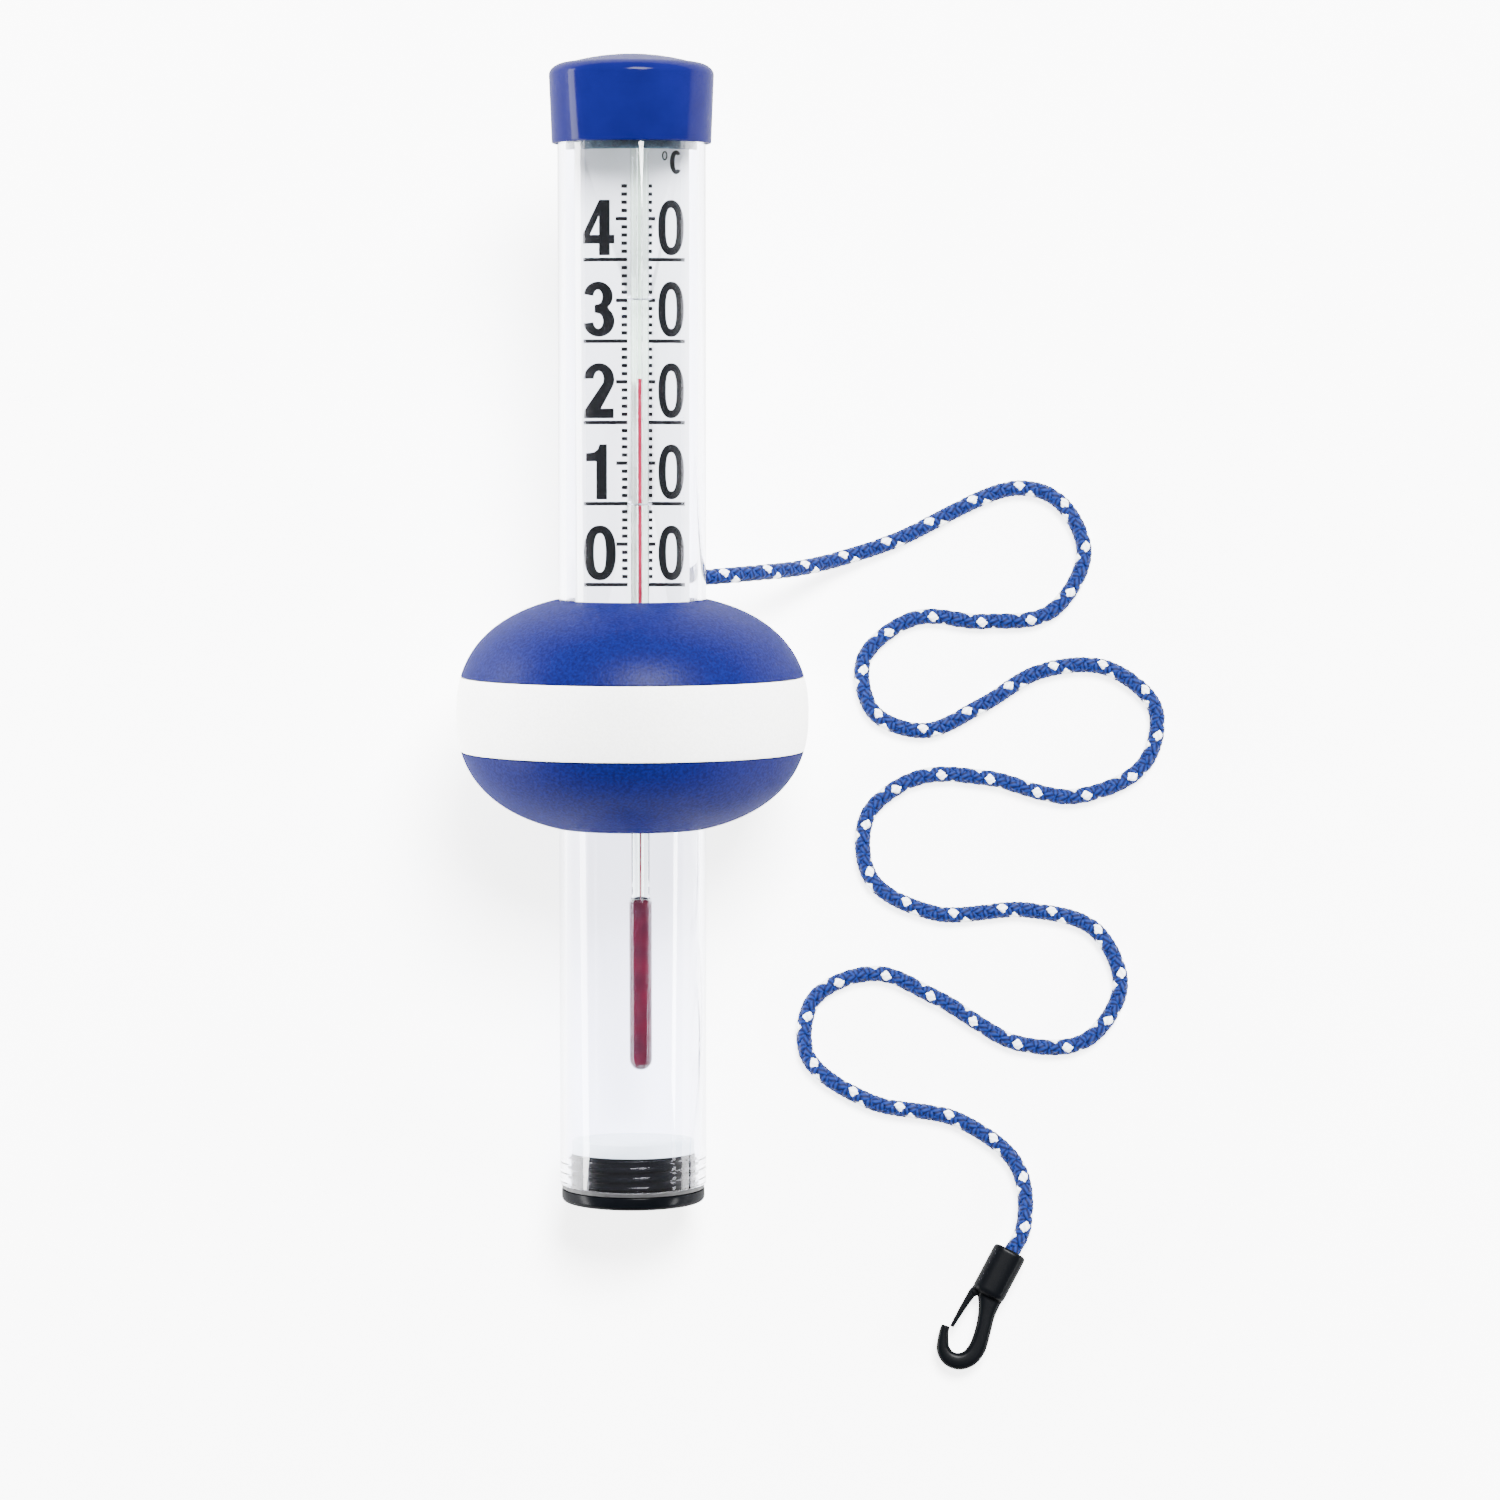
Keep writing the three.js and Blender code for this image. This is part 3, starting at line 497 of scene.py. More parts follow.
def yarn(name, deep, light):
    """Twisted filament yarn of a braided rope: filaments across the strand, drawn 0.5 mm apart."""
    material, tree, shader, place = surface(
        name, {"IOR": 1.5, "Specular IOR Level": 0.1, "Roughness": 0.6},
    )
    along = add(tree, "UVMap", {"uv_map": "strand"}).outputs[0]
    turned_yarn = add(tree, "Mapping", {"Rotation": (0, 0, 0.5)}, {"Vector": along}).outputs[0]
    filaments = add(
        tree, "TexWave", {"Scale": 0.32, "Distortion": 1.2, "Detail": 2.0, "Detail Scale": 1.5},
        {"Vector": turned_yarn},
    ).outputs["Fac"]
    tint(tree, shader, filaments, deep, light, 0.1, 0.9)
    bump(tree, shader, filaments, 0.12 * MM, 0.8)
    return material


def studio_floor():
    """Matt white studio sweep, lit from below so that it stays pale."""
    material, tree, shader, place = surface(
        "matt white studio sweep",
        {"Roughness": 0.9, "Emission Color": linear("FFFFFF"), "Emission Strength": FLOOR_GLOW},
    )
    paper = noise(tree, place, 40 * MM)
    tint(tree, shader, paper, "F4F4F5", "F8F8F8")
    return material


ACRYLIC = clear_acrylic()
GLASS = drawn_glass()
CAP_BLUE = gloss_plastic("royal blue ABS, polished mould", "0A0B3C", "0C0D43", 0.1)
FLOAT_BLUE = grained_plastic("royal blue ABS, spark-eroded mould", "070935", "0B1048", 0.4)
BAND_WHITE = grained_plastic("white ABS, spark-eroded mould", "F3F3F1", "FBFBFA", 0.45)
PLUG_BLACK = gloss_plastic("black ABS, polished mould", "040507", "08090C", 0.22)
HOOK_BLACK = gloss_plastic("black acetal, moulded", "040507", "07080A", 0.28)
RUBBER = seal_rubber()
LACQUER = lacquered_steel()
WIRE = tie_steel()
PLATE = plate_sheet()
INK = printing_ink()
SPIRIT = dyed_spirit("red dyed spirit, in the bulb", "38031A", "4C061F")
THIN_SPIRIT = dyed_spirit("red dyed spirit, in the bore", "8C0E30", "A4183E")
# The holders are real pieces, but their dark foam colour is painted shade for the cap's shadow inside the tube.
FOAM_PAINTED_SHADE = foam_rubber_painted_shade()
BLUE_YARN = yarn("royal blue polyester yarn, braided", "01062A", "08205E")
WHITE_YARN = yarn("white polyester tracer yarn, braided", "D8DCE0", "F6F8FA")

# ---- Thread ----

RIDGE_REACH = 0.3  # from a ridge's middle to its foot, and its flank, as shares of the pitch
RIDGE_FLANK = 0.16


def ridge(height, angle, phase):
    """How far a ridge stands at this height and angle, from 0 to 1, on a right-hand helix."""
    turns = height / THREAD_PITCH - angle / (2 * math.pi) + phase
    flank = min(max((RIDGE_REACH - abs(turns % 1 - 0.5)) / RIDGE_FLANK, 0), 1)
    fade = min(max(min(height, THREAD_LENGTH - height) / MM, 0), 1)
    return fade * flank * flank * (3 - 2 * flank)


def thread_cutter(wall, depth, phase):
    """A function that moves vertices of a plain wall in or out by the thread's ridge."""

    def carve(vertex):
        x, y, z = vertex.co
        height = z - TUBE_BOTTOM
        if abs(math.hypot(x, y) - wall) > 0.01 * MM or not 0 <= height <= THREAD_LENGTH:
            return
        scale = 1 + depth * ridge(height, math.atan2(y, x), phase) / wall
        vertex.co.x *= scale
        vertex.co.y *= scale

    return carve


THREAD_ROWS = 42
thread_heights = [TUBE_BOTTOM + THREAD_LENGTH * i / THREAD_ROWS for i in range(THREAD_ROWS + 1)]

# ---- Tube and its closures ----


def outer_tube():
    edge = 0.4 * MM
    profile = [
        *arc(TUBE_RADIUS - edge, TUBE_BOTTOM + edge, edge, -90, 0, 3),
        *arc(TUBE_RADIUS - edge, TUBE_TOP - edge, edge, 0, 90, 3),
        (TUBE_BORE, TUBE_TOP),
        (TUBE_BORE, thread_heights[-1] + THREAD_PITCH),
        *[(TUBE_BORE, z) for z in reversed(thread_heights)],
    ]
    carve = thread_cutter(TUBE_BORE, -TUBE_THREAD_DEPTH, 0.5)
    mesh = turned("tube", profile, closed=True, carve=carve)
    piece("clear_tube", mesh, ACRYLIC, "thermometer", replaces=["outer_tube"])


def bottom_plug():
    flange = 3.9 * MM
    edge = 1.5 * MM
    top_edge = 0.3 * MM
    clearance = 0.35 * MM
    core = TUBE_BORE - clearance - THREAD_DEPTH
    top = thread_heights[-1] + GAP
    cup = 15 * MM
    cup_floor = top - 11.6 * MM
    profile = [
        (0, 0),
        *arc(plug_size.radius - edge, edge, edge, -90, 0, 6),
        *arc(plug_size.radius - top_edge, flange - top_edge, top_edge, 0, 90, 2),
        (core, flange),
        *[(core, z) for z in thread_heights],
        (core, top),
        (cup, top),
        (cup, cup_floor),
        (0, cup_floor),
    ]
    mesh = turned("plug", profile, carve=thread_cutter(core, THREAD_DEPTH, 0))
    piece("threaded_plug", mesh, PLUG_BLACK, "plug", replaces=["bottom_plug"])


def ballast_weight():
    """The weight's shank sits in the plug's cup. Its wide head has a shallow ring turned in it."""
    top = weight_size.high.z
    head = weight_size.radius
    head_bottom = top - 4.9 * MM
    shank = 14.7 * MM
    chamfer = 0.8 * MM
    groove = head - 3.2 * MM
    half_groove = 0.5 * MM
    profile = [
        (0, weight_size.low.z),
        (shank, weight_size.low.z),
        (shank, head_bottom),
        (head, head_bottom),
        (head, top - chamfer),
        (head - chamfer, top),
        (groove + half_groove, top),
        (groove, top - half_groove),
        (groove - half_groove, top),
        (0, top),
    ]
    mesh = turned("weight", profile, rounding=0.2 * MM)
    piece("weight", mesh, LACQUER, "plug", replaces=["ballast_weight"])


def top_cap():
    """The cap's skirt widens a little towards a rounded shoulder, under a low domed crown."""
    widest = cap_size.radius
    top = cap_size.high.z
    bottom = cap_size.low.z
    inside = TUBE_TOP + 1.6 * MM
    dome = 2.6 * MM
    shoulder = 3.8 * MM
    across = 6 * MM
    rim = widest - 0.8 * MM
    edge = 0.5 * MM
    crown = widest - across
    corner = [
        (crown + across * r, top - dome - shoulder + shoulder * z) for r, z in arc(0, 0, 1, 0, 90, 14)
    ]
    crown_line = [(crown * share, top - dome * share**2) for share in [0.85, 0.7, 0.5, 0.3, 0.15, 0]]
    profile = [
        (0, inside),
        (COLLAR_BORE, inside),
        (COLLAR_BORE, bottom + edge),
        (COLLAR_BORE + edge, bottom),
        *arc(rim - edge, bottom + edge, edge, -90, 0, 3),
        *corner,
        *crown_line,
    ]
    mesh = turned("cap", profile)
    piece("cap", mesh, CAP_BLUE, "cap", replaces=["top_cap"])


# ---- Float ----


def float_angle(height=None, radius=None, inset=0.0):
    """The angle on the float's section at this height or radius."""
    if radius is None:
        return math.asin((height / (FLOAT_HALF_HEIGHT - inset)) ** (FLOAT_POWER / 2))
    return math.acos((radius / (FLOAT_RADIUS - inset)) ** (FLOAT_POWER / 2))


def float_arc(start, end, inset, steps):
    """Points (r, z from the float's middle) on its section, set in by a wall."""
    angles = [start + (end - start) * i / steps for i in range(steps + 1)]
    power = 2 / FLOAT_POWER
    return [
        (
            (FLOAT_RADIUS - inset) * abs(math.cos(a)) ** power,
            (FLOAT_HALF_HEIGHT - inset) * abs(math.sin(a)) ** power,
        )
        for a in angles
    ]


def float_shell(side):
    """Half the float: skin, a collar round the tube, and the lip that goes behind the band."""
    edge = BAND_HALF_HEIGHT + GAP
    seam = float_arc(float_angle(height=BAND_HALF_HEIGHT), 0, 0, 1)[0][0]
    lip = seam - FLOAT_WALL - GAP
    collar = COLLAR_BORE + 4.3 * MM
    outer = float_arc(float_angle(height=edge), float_angle(radius=COLLAR_BORE + 0.8 * MM), 0, 40)
    inner = float_arc(
        float_angle(radius=collar, inset=FLOAT_WALL),
        float_angle(radius=lip - FLOAT_WALL, inset=FLOAT_WALL), FLOAT_WALL, 24,
    )
    groove = outer[-1][1] - 5.5 * MM
    half_groove = 1.25 * MM
    groove_bottom = TUBE_RADIUS + 2.4 * MM
    lip_foot = edge - 3.8 * MM
    profile = [
        *outer,
        (COLLAR_BORE, outer[-1][1] - 0.5 * MM),
        (COLLAR_BORE, groove + half_groove),
        (groove_bottom, groove + half_groove),
        (groove_bottom, groove - half_groove),
        (COLLAR_BORE, groove - half_groove),
        (COLLAR_BORE, GAP),
        (collar - 2 * MM, GAP),
        *inner,
        (lip - FLOAT_WALL, lip_foot),
        (lip, lip_foot),
        (lip, edge),
    ]
    placed = [(r, FLOAT_CENTRE + side * z) for r, z in profile]
    return turned("shell", placed, closed=True)


def rope_lug():
    """The rope's eye on the upper shell: a rounded upright plate with a hole across the tube."""
    thickness = 5 * MM
    hole = ROPE_RADIUS + 2 * GAP
    radius = hole + 1.5 * MM
    centre = TUBE.inverted() @ LUG_HOLE
    foot = upper_size.high.z - 13 * MM
    bm = bmesh.new()
    lay = Matrix.Translation((0, centre.y, centre.z)) @ Matrix.Rotation(math.pi / 2, 4, "Y")
    bmesh.ops.create_circle(bm, cap_ends=True, radius=radius, segments=48, matrix=lay)
    for vertex in bm.verts:
        vertex.co.x = -thickness / 2
        if vertex.co.z < centre.z:
            off = vertex.co.y - centre.y
            vertex.co.y = centre.y + (math.copysign(radius, off) if abs(off) > 1e-6 else 0)
            vertex.co.z = foot
    bmesh.ops.remove_doubles(bm, verts=bm.verts, dist=1e-6)
    grown = bmesh.ops.extrude_face_region(bm, geom=bm.faces[:])
    far = [part for part in grown["geom"] if isinstance(part, bmesh.types.BMVert)]
    bmesh.ops.translate(bm, vec=(thickness, 0, 0), verts=far)
    bmesh.ops.recalc_face_normals(bm, faces=bm.faces)
    soften(bm, 0.6 * MM, crease=50)
    return drilled("lug", mesh_of(bm, "lug"), lay, hole, 3 * thickness, 48)


def float_pieces():
    upper = combined("upper", float_shell(1), rope_lug(), "UNION")
    piece(
        "upper_shell", upper, FLOAT_BLUE, "thermometer",
        replaces=["float_upper_shell"],
    )
    piece(
        "lower_shell", float_shell(-1), FLOAT_BLUE, "thermometer",
        replaces=["float_lower_shell"],
    )
    edge = 0.2 * MM
    half = float_angle(height=BAND_HALF_HEIGHT - edge)
    outside = float_arc(half, 0, 0, 16)
    face = [(r, z) for r, z in outside] + [(r, -z) for r, z in reversed(outside[:-1])]
    back = face[0][0] - FLOAT_WALL
    profile = [(back, BAND_HALF_HEIGHT), (face[0][0] - edge, BAND_HALF_HEIGHT), *face]
    profile += [(face[0][0] - edge, -BAND_HALF_HEIGHT), (back, -BAND_HALF_HEIGHT)]
    placed = [(r, FLOAT_CENTRE + z) for r, z in profile]
    band = turned("band", placed, closed=True)
    piece("white_band", band, BAND_WHITE, "thermometer", replaces=["float_band"])


# ---- Scale ----

PRINT_THICKNESS = 0.06 * MM
PRINT_LIFT = 0.004 * MM  # off the plate

# Outlines, lines and ticks are in millimetres. A line or tick is (left, right) from the tube's
# axis, one on each side of the stem.
FIGURE_HEIGHT = 16.6
LINE_WIDTH = 1.1
LINES = ((-14.9, -1.4), (4.6, 16.2))
LONG_TICKS = ((-4.9, -1.4), (5.0, 7.1))
TICKS = ((-3.2, -1.4), (5.0, 6.2))
SCALE_DEGREES = 50
LETTER_DEGREES = 50.5
FIGURE_LIFT = 1.3 * MM  # over its line
TENS_LEFT = -14.9 * MM
UNITS_LEFT = 8.0 * MM
LETTER_LEFT = 11.7 * MM
RING_LEFT = 9.2 * MM
RING_LIFT = 4 * MM


def bow(x, z, across, up, start, end, steps=16):
    """Points on an ellipse, from one angle in degrees to another."""
    angles = [math.radians(start + (end - start) * i / steps) for i in range(steps + 1)]
    return [(x + across * math.cos(a), z + up * math.sin(a)) for a in angles]


def oblong(x, z, across, up, power=2.5, steps=40):
    """A closed outline between an ellipse and a rectangle."""
    outline = []
    for c, s in bow(0, 0, 1, 1, 0, 360 - 360 / steps, steps - 1):
        wide = math.copysign(abs(c) ** (2 / power), c)
        high = math.copysign(abs(s) ** (2 / power), s)
        outline.append((x + across * wide, z + up * high))
    return outline


def nought(width, side):
    """A nought of this width, its sides this thick."""
    ends = 2.4
    half, tall = width / 2, FIGURE_HEIGHT / 2
    return [oblong(half, tall, half, tall, 2.3), oblong(half, tall, half - side, tall - ends)]


# Bold narrow figures, each as closed outlines in millimetres from its lower left corner.
FIGURES = {
    0: nought(9.9, 3.1),
    1: [[
        (3.9, 0), (7.2, 0), (7.2, 16.6), (4.9, 16.6), (4.4, 15.1), (3.2, 14.2), (0.7, 13.9),
        (0.7, 11.5), (3.9, 11.5),
    ]],
    2: [[
        *bow(4.8, 11.7, 4.7, 4.9, 178, -28), (5.4, 2.9), (9.3, 2.9), (9.3, 0), (0.1, 0), (0.3, 2.4),
        *bow(4.7, 11.8, 1.5, 2.4, -32, 178, 12),
    ]],
    3: [[
        *bow(4.6, 12.2, 4.5, 4.4, 172, -48), *bow(4.8, 4.7, 4.8, 4.7, 48, -172),
        *bow(4.6, 4.7, 1.5, 2.3, -172, 75, 12), (3.5, 7.3), (3.5, 9.6),
        *bow(4.5, 12.0, 1.4, 2.2, -80, 172, 12),
    ]],
    4: [
        [
            (4.9, 0), (8.2, 0), (8.2, 3.5), (9.6, 3.5), (9.6, 6.1), (8.2, 6.1), (8.2, 16.6),
            (5.0, 16.6), (0, 6.6), (0, 3.5), (4.9, 3.5),
        ],
        [(4.9, 6.1), (2.1, 6.1), (4.9, 11.9)],
    ],
}
UNITS_NOUGHT = nought(7.9, 2.3)
LETTER_C = [[*bow(1.8, 3.5, 1.9, 3.6, 42, 318, 20), *bow(1.9, 3.5, 0.55, 2.3, 300, 60, 16)]]
DEGREE_RING = [oblong(0.85, 1.4, 0.85, 1.4, 2, 20), oblong(0.85, 1.4, 0.45, 1.0, 2, 20)]


def bar(left, right):
    """A printed line's outline, its middle at height 0."""
    half = LINE_WIDTH / 2
    return [[(left, -half), (right, -half), (right, half), (left, half)]]


def printed(outlines, left, bottom):
    """A flat print of closed outlines, holes included, on the plate's front."""
    curve = bpy.data.curves.new("print", "CURVE")
    curve.dimensions = "2D"
    curve.fill_mode = "BOTH"
    curve.extrude = PRINT_THICKNESS / 2
    for outline in outlines:
        spline = curve.splines.new("POLY")
        spline.points.add(len(outline) - 1)
        for point, (x, z) in zip(spline.points, outline):
            point.co = (x * MM + left, z * MM + bottom, 0, 1)
        spline.use_cyclic_u = True
    made = in_scene("print", curve)
    mesh = evaluated(made, "print")
    bpy.data.objects.remove(made)
    front = plate_size.low.y - PRINT_THICKNESS / 2 - PRINT_LIFT
    mesh.transform(Matrix.Translation((0, front, 0)) @ Matrix.Rotation(math.pi / 2, 4, "X"))
    return mesh


def scale_print():
    """Figures every ten degrees, with the units' nought on the right, and a tick for each degree."""
    bm = bmesh.new()
    for degrees in range(SCALE_DEGREES):
        height = ZERO_MARK + degrees * DEGREE
        bars = LINES if degrees % 10 == 0 else LONG_TICKS if degrees % 5 == 0 else TICKS
        for left, right in bars:
            bm.from_mesh(printed(bar(left, right), 0, height))
        if degrees % 10 == 0:
            above = height + FIGURE_LIFT
            bm.from_mesh(printed(FIGURES[degrees // 10], TENS_LEFT, above))
            bm.from_mesh(printed(UNITS_NOUGHT, UNITS_LEFT, above))
    above = ZERO_MARK + LETTER_DEGREES * DEGREE
    bm.from_mesh(printed(LETTER_C, LETTER_LEFT, above))
    bm.from_mesh(printed(DEGREE_RING, RING_LEFT, above + RING_LIFT))
    bmesh.ops.remove_doubles(bm, verts=bm.verts, dist=1e-7)
    bmesh.ops.recalc_face_normals(bm, faces=bm.faces)
    piece("scale_print", mesh_of(bm, "print"), INK, "thermometer")


def scale_plate():
    """The plate with its corners rounded and a pair of holes for each tie."""
    low, high = plate_size.low, plate_size.high
    bm = box_bmesh(low, high)
    upright = [e for e in bm.edges if abs(e.verts[0].co.y - e.verts[1].co.y) > 1e-6]
    bmesh.ops.bevel(
        bm, geom=upright, offset=1.2 * MM, offset_type="OFFSET", affect="EDGES", segments=5,
        profile=0.5, material=-1,
    )
    mesh = mesh_of(bm, "plate")
    hole = 0.8 * MM
    reach = (low_tie.high.x - low_tie.low.x) / 2 - 2.7 * MM
    for tie in (low_tie, high_tie):
        for side in (-1, 1):
            place = Matrix.Translation((STEM_X + side * reach, 0, tie.middle.z))
            place = place @ Matrix.Rotation(math.pi / 2, 4, "X")
            mesh = drilled("plate", mesh, place, hole, 9 * MM, 24)
    piece("plate", mesh, PLATE, "thermometer", replaces=["scale_plate"])


# ---- Glass stem and spirit ----

STEM_AXIS = TUBE @ Matrix.Translation((STEM_X, STEM_Y, 0))
BULB_WALL = 0.16 * MM
BORE = 0.68 * MM
bulb_radius = (stem_size.high.x - stem_size.low.x) / 2
stem_radius = 2.75 * MM
bulb_bottom = stem_size.low.z
bulb_top = bulb_bottom + 52.6 * MM
column_radius = (column_size.high.x - column_size.low.x) / 2


def glass_stem():
    cavity = bulb_radius - BULB_WALL
    neck = bulb_top - 1.2 * MM
    profile = [
        *arc(0, bulb_bottom + bulb_radius, bulb_radius, -90, 0, 12),
        (bulb_radius, neck),
        (bulb_radius - 0.2 * MM, bulb_top - 0.4 * MM),
        (stem_radius, bulb_top + 0.6 * MM),
        *arc(stem_radius - MM, stem_size.high.z - MM, MM, 0, 90, 5),
        (BORE, stem_size.high.z),
        (BORE, bulb_top + 0.3 * MM),
        (cavity - 0.5 * MM, bulb_top - 0.3 * MM),
        (cavity, neck),
        *arc(0, bulb_bottom + BULB_WALL + cavity, cavity, 0, -90, 12),
    ]
    mesh = turned("stem", profile, SMALL_SIDES)
    piece("stem", mesh, GLASS, "thermometer", STEM_AXIS, ["glass_stem"])


def spirit_reservoir():
    wet = 0.05 * MM  # into the glass, so no air shows between them
    radius = bulb_radius - BULB_WALL + wet
    bottom = bulb_bottom + BULB_WALL - wet
    bore = column_radius + 0.04 * MM
    bore_floor = bottom + 6 * MM
    neck = bulb_top - 1.3 * MM
    profile = [
        *arc(0, bottom + radius, radius, -90, 0, 12),
        (radius, neck),
        (radius - 0.6 * MM, bulb_top - 0.45 * MM),
        (bore, bulb_top - 0.35 * MM),
        (bore, bore_floor),
        (0, bore_floor),
    ]
    mesh = turned("reservoir", profile, SMALL_SIDES)
    piece("reservoir", mesh, SPIRIT, "thermometer", STEM_AXIS, ["spirit_reservoir"])


def spirit_column():
    """The sliding part of the spirit: a sleeve on the fixed thread, closed at its top."""
    inner = 0.38 * MM
    roof = column_size.high.z - 1 * MM
    meniscus = 0.3 * MM
    profile = [
        (0, column_size.high.z),
        (column_radius - meniscus / 2, column_size.high.z - 0.1 * MM),
        (column_radius, column_size.high.z - meniscus),
        (column_radius, column_size.low.z),
        (inner, column_size.low.z),
        (inner, roof),
        (0, roof),
    ]
    mesh = turned("column", profile, 24)
    piece("column", mesh, THIN_SPIRIT, "column", STEM_AXIS, ["spirit_column"])


# ---- Rope and knots ----


def smooth_line(points, steps):
    """A centripetal Catmull-Rom curve through the points."""

    def between(a, b, share):
        return a + (b - a) * share

    ends = [2 * points[0] - points[1], *points, 2 * points[-1] - points[-2]]
    line = []
    for p0, p1, p2, p3 in zip(ends, ends[1:], ends[2:], ends[3:]):
        t1 = math.sqrt((p1 - p0).length)
        t2 = t1 + math.sqrt((p2 - p1).length)
        t3 = t2 + math.sqrt((p3 - p2).length)
        for i in range(steps):
            t = t1 + (t2 - t1) * i / steps
            a1 = between(p0, p1, t / t1)
            a2 = between(p1, p2, (t - t1) / (t2 - t1))
            a3 = between(p2, p3, (t - t2) / (t3 - t2))
            b1 = between(a1, a2, t / t2)
            b2 = between(a2, a3, (t - t1) / (t3 - t1))
            line.append(between(b1, b2, (t - t1) / (t2 - t1)))
    return [*line, points[-1].copy()]


def even_line(line, step):
    """The same line, with its points an even distance apart."""
    lengths = [0.0]
    for a, b in zip(line, line[1:]):
        lengths.append(lengths[-1] + (b - a).length)
    count = round(lengths[-1] / step)
    even, at = [], 0
    for i in range(count + 1):
        want = lengths[-1] * i / count
        while at < len(line) - 2 and lengths[at + 1] < want:
            at += 1
        share = (want - lengths[at]) / (lengths[at + 1] - lengths[at])
        even.append(line[at] + (line[at + 1] - line[at]) * share)
    return even, lengths[-1]


def frames_along(line):
    """The line's direction, a side and an up at each point, which turn only as the line does."""
    ahead = [
        (line[min(i + 1, len(line) - 1)] - line[max(i - 1, 0)]).normalized() for i in range(len(line))
    ]
    side = Vector((0, 0, 1)).cross(ahead[0]).normalized()
    frames = []
    for before, now in zip([ahead[0], *ahead], ahead):
        side = before.rotation_difference(now) @ side
        side = (side - now * side.dot(now)).normalized()
        frames.append((now, side, now.cross(side)))
    return frames


STRANDS = 4  # each way round
LAY_ANGLE = math.radians(65)  # turns the braid so that the white tracer shows on the rope's top


def braid(name, points, radius, pitch, step):
    """A round braid of eight strands, four each way, over and under in turn. One is white."""
    line, length = even_line(points, step)
    frames = frames_along(line)
    scale = radius / ROPE_RADIUS
    middle = 1.92 * MM * scale
    wave = 0.2 * MM * scale
    half_thick = 0.46 * MM * scale
    half_wide = 1.3 * MM * scale
    around = 6  # corners of a strand's section
    pattern = 4  # the yarn's pattern is this wide round a strand
    vertices, faces, coordinates, tones = [], [], [], []
    steps = len(line)
    for direction in (1, -1):
        for strand in range(STRANDS):
            first = len(vertices)
            for i, (point, (ahead, side, up)) in enumerate(zip(line, frames)):
                at = length * i / (steps - 1)
                turn = LAY_ANGLE + direction * 2 * math.pi * at / pitch + 2 * math.pi * strand / STRANDS
                out = math.cos(turn) * side + math.sin(turn) * up
                over = middle + direction * wave * math.cos(2 * math.pi * STRANDS * at / pitch)
                slope = direction * 2 * math.pi * middle / pitch
                along = (ahead + slope * ahead.cross(out)).normalized()
                wide = along.cross(out)
                for j in range(around):
                    angle = 2 * math.pi * j / around
                    lift = half_thick * math.sin(angle) * out + half_wide * math.cos(angle) * wide
                    vertices.append(point + out * over + lift)
            for i in range(steps - 1):
                for j in range(around):
                    a = first + i * around + j
                    b = first + i * around + (j + 1) % around
                    faces.append((a, b, b + around, a + around))
                    at = length * i / (steps - 1) / MM
                    next_at = length * (i + 1) / (steps - 1) / MM
                    left, right = pattern * j / around, pattern * (j + 1) / around
                    coordinates += [at, left, at, right, next_at, right, next_at, left]
                    tones.append(1 if (direction, strand) == (1, 0) else 0)
            for start, order in ((first, -1), (first + (steps - 1) * around, 1)):
                faces.append(tuple(start + j for j in range(around))[::order])
                coordinates += [0.0, 0.0] * around
                tones.append(0)
    mesh = bpy.data.meshes.new(name)
    mesh.from_pydata([tuple(v) for v in vertices], [], faces)
    mesh.uv_layers.new(name="strand").data.foreach_set("uv", coordinates)
    mesh.update()
    bm = bmesh.new()
    bm.from_mesh(mesh)
    bmesh.ops.recalc_face_normals(bm, faces=bm.faces)
    bm.to_mesh(mesh)
    bm.free()
    mesh.shade_smooth()
    return mesh, tones, line


def braided_piece(name, points, radius, pitch, step, node):
    """A finished braid with one white strand, and the line it follows."""
    mesh, tones, line = braid(name, points, radius, pitch, step)
    made = piece(
        name, mesh, [BLUE_YARN, WHITE_YARN], "thermometer", Matrix.Identity(4), [node],
    )
    made.data.polygons.foreach_set("material_index", tones)
    made.data.update()
    return made, line


def tight_knot(name, node, along):
    """A tight stopper knot: the rope's trefoil, squeezed into the egg the knot fills."""
    low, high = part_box(node)
    centre = (low + high) / 2
    turn = Vector((0, 0, 1)).rotation_difference(along)
    local = [turn.inverted() @ (v.co - centre) for v in frame["nodes"][node].data.vertices]
    half_length = max(p.z for p in local)
    half_width = max(math.hypot(p.x, p.y) for p in local)
    thin = 0.36 * half_width
    loop = []
    steps = 180
    for i in range(steps + 1):
        t = 2 * math.pi * i / steps
        reach = (2 + math.cos(3 * t)) / 3 * (half_width - thin)
        lift = math.sin(3 * t) * (half_length - thin)
        loop.append(centre + turn @ Vector((reach * math.cos(2 * t), reach * math.sin(2 * t), lift)))
    return braided_piece(name, loop, thin, BRAID_PITCH / 2, KNOT_STEP, node)[0]


# ---- Snap hook ----


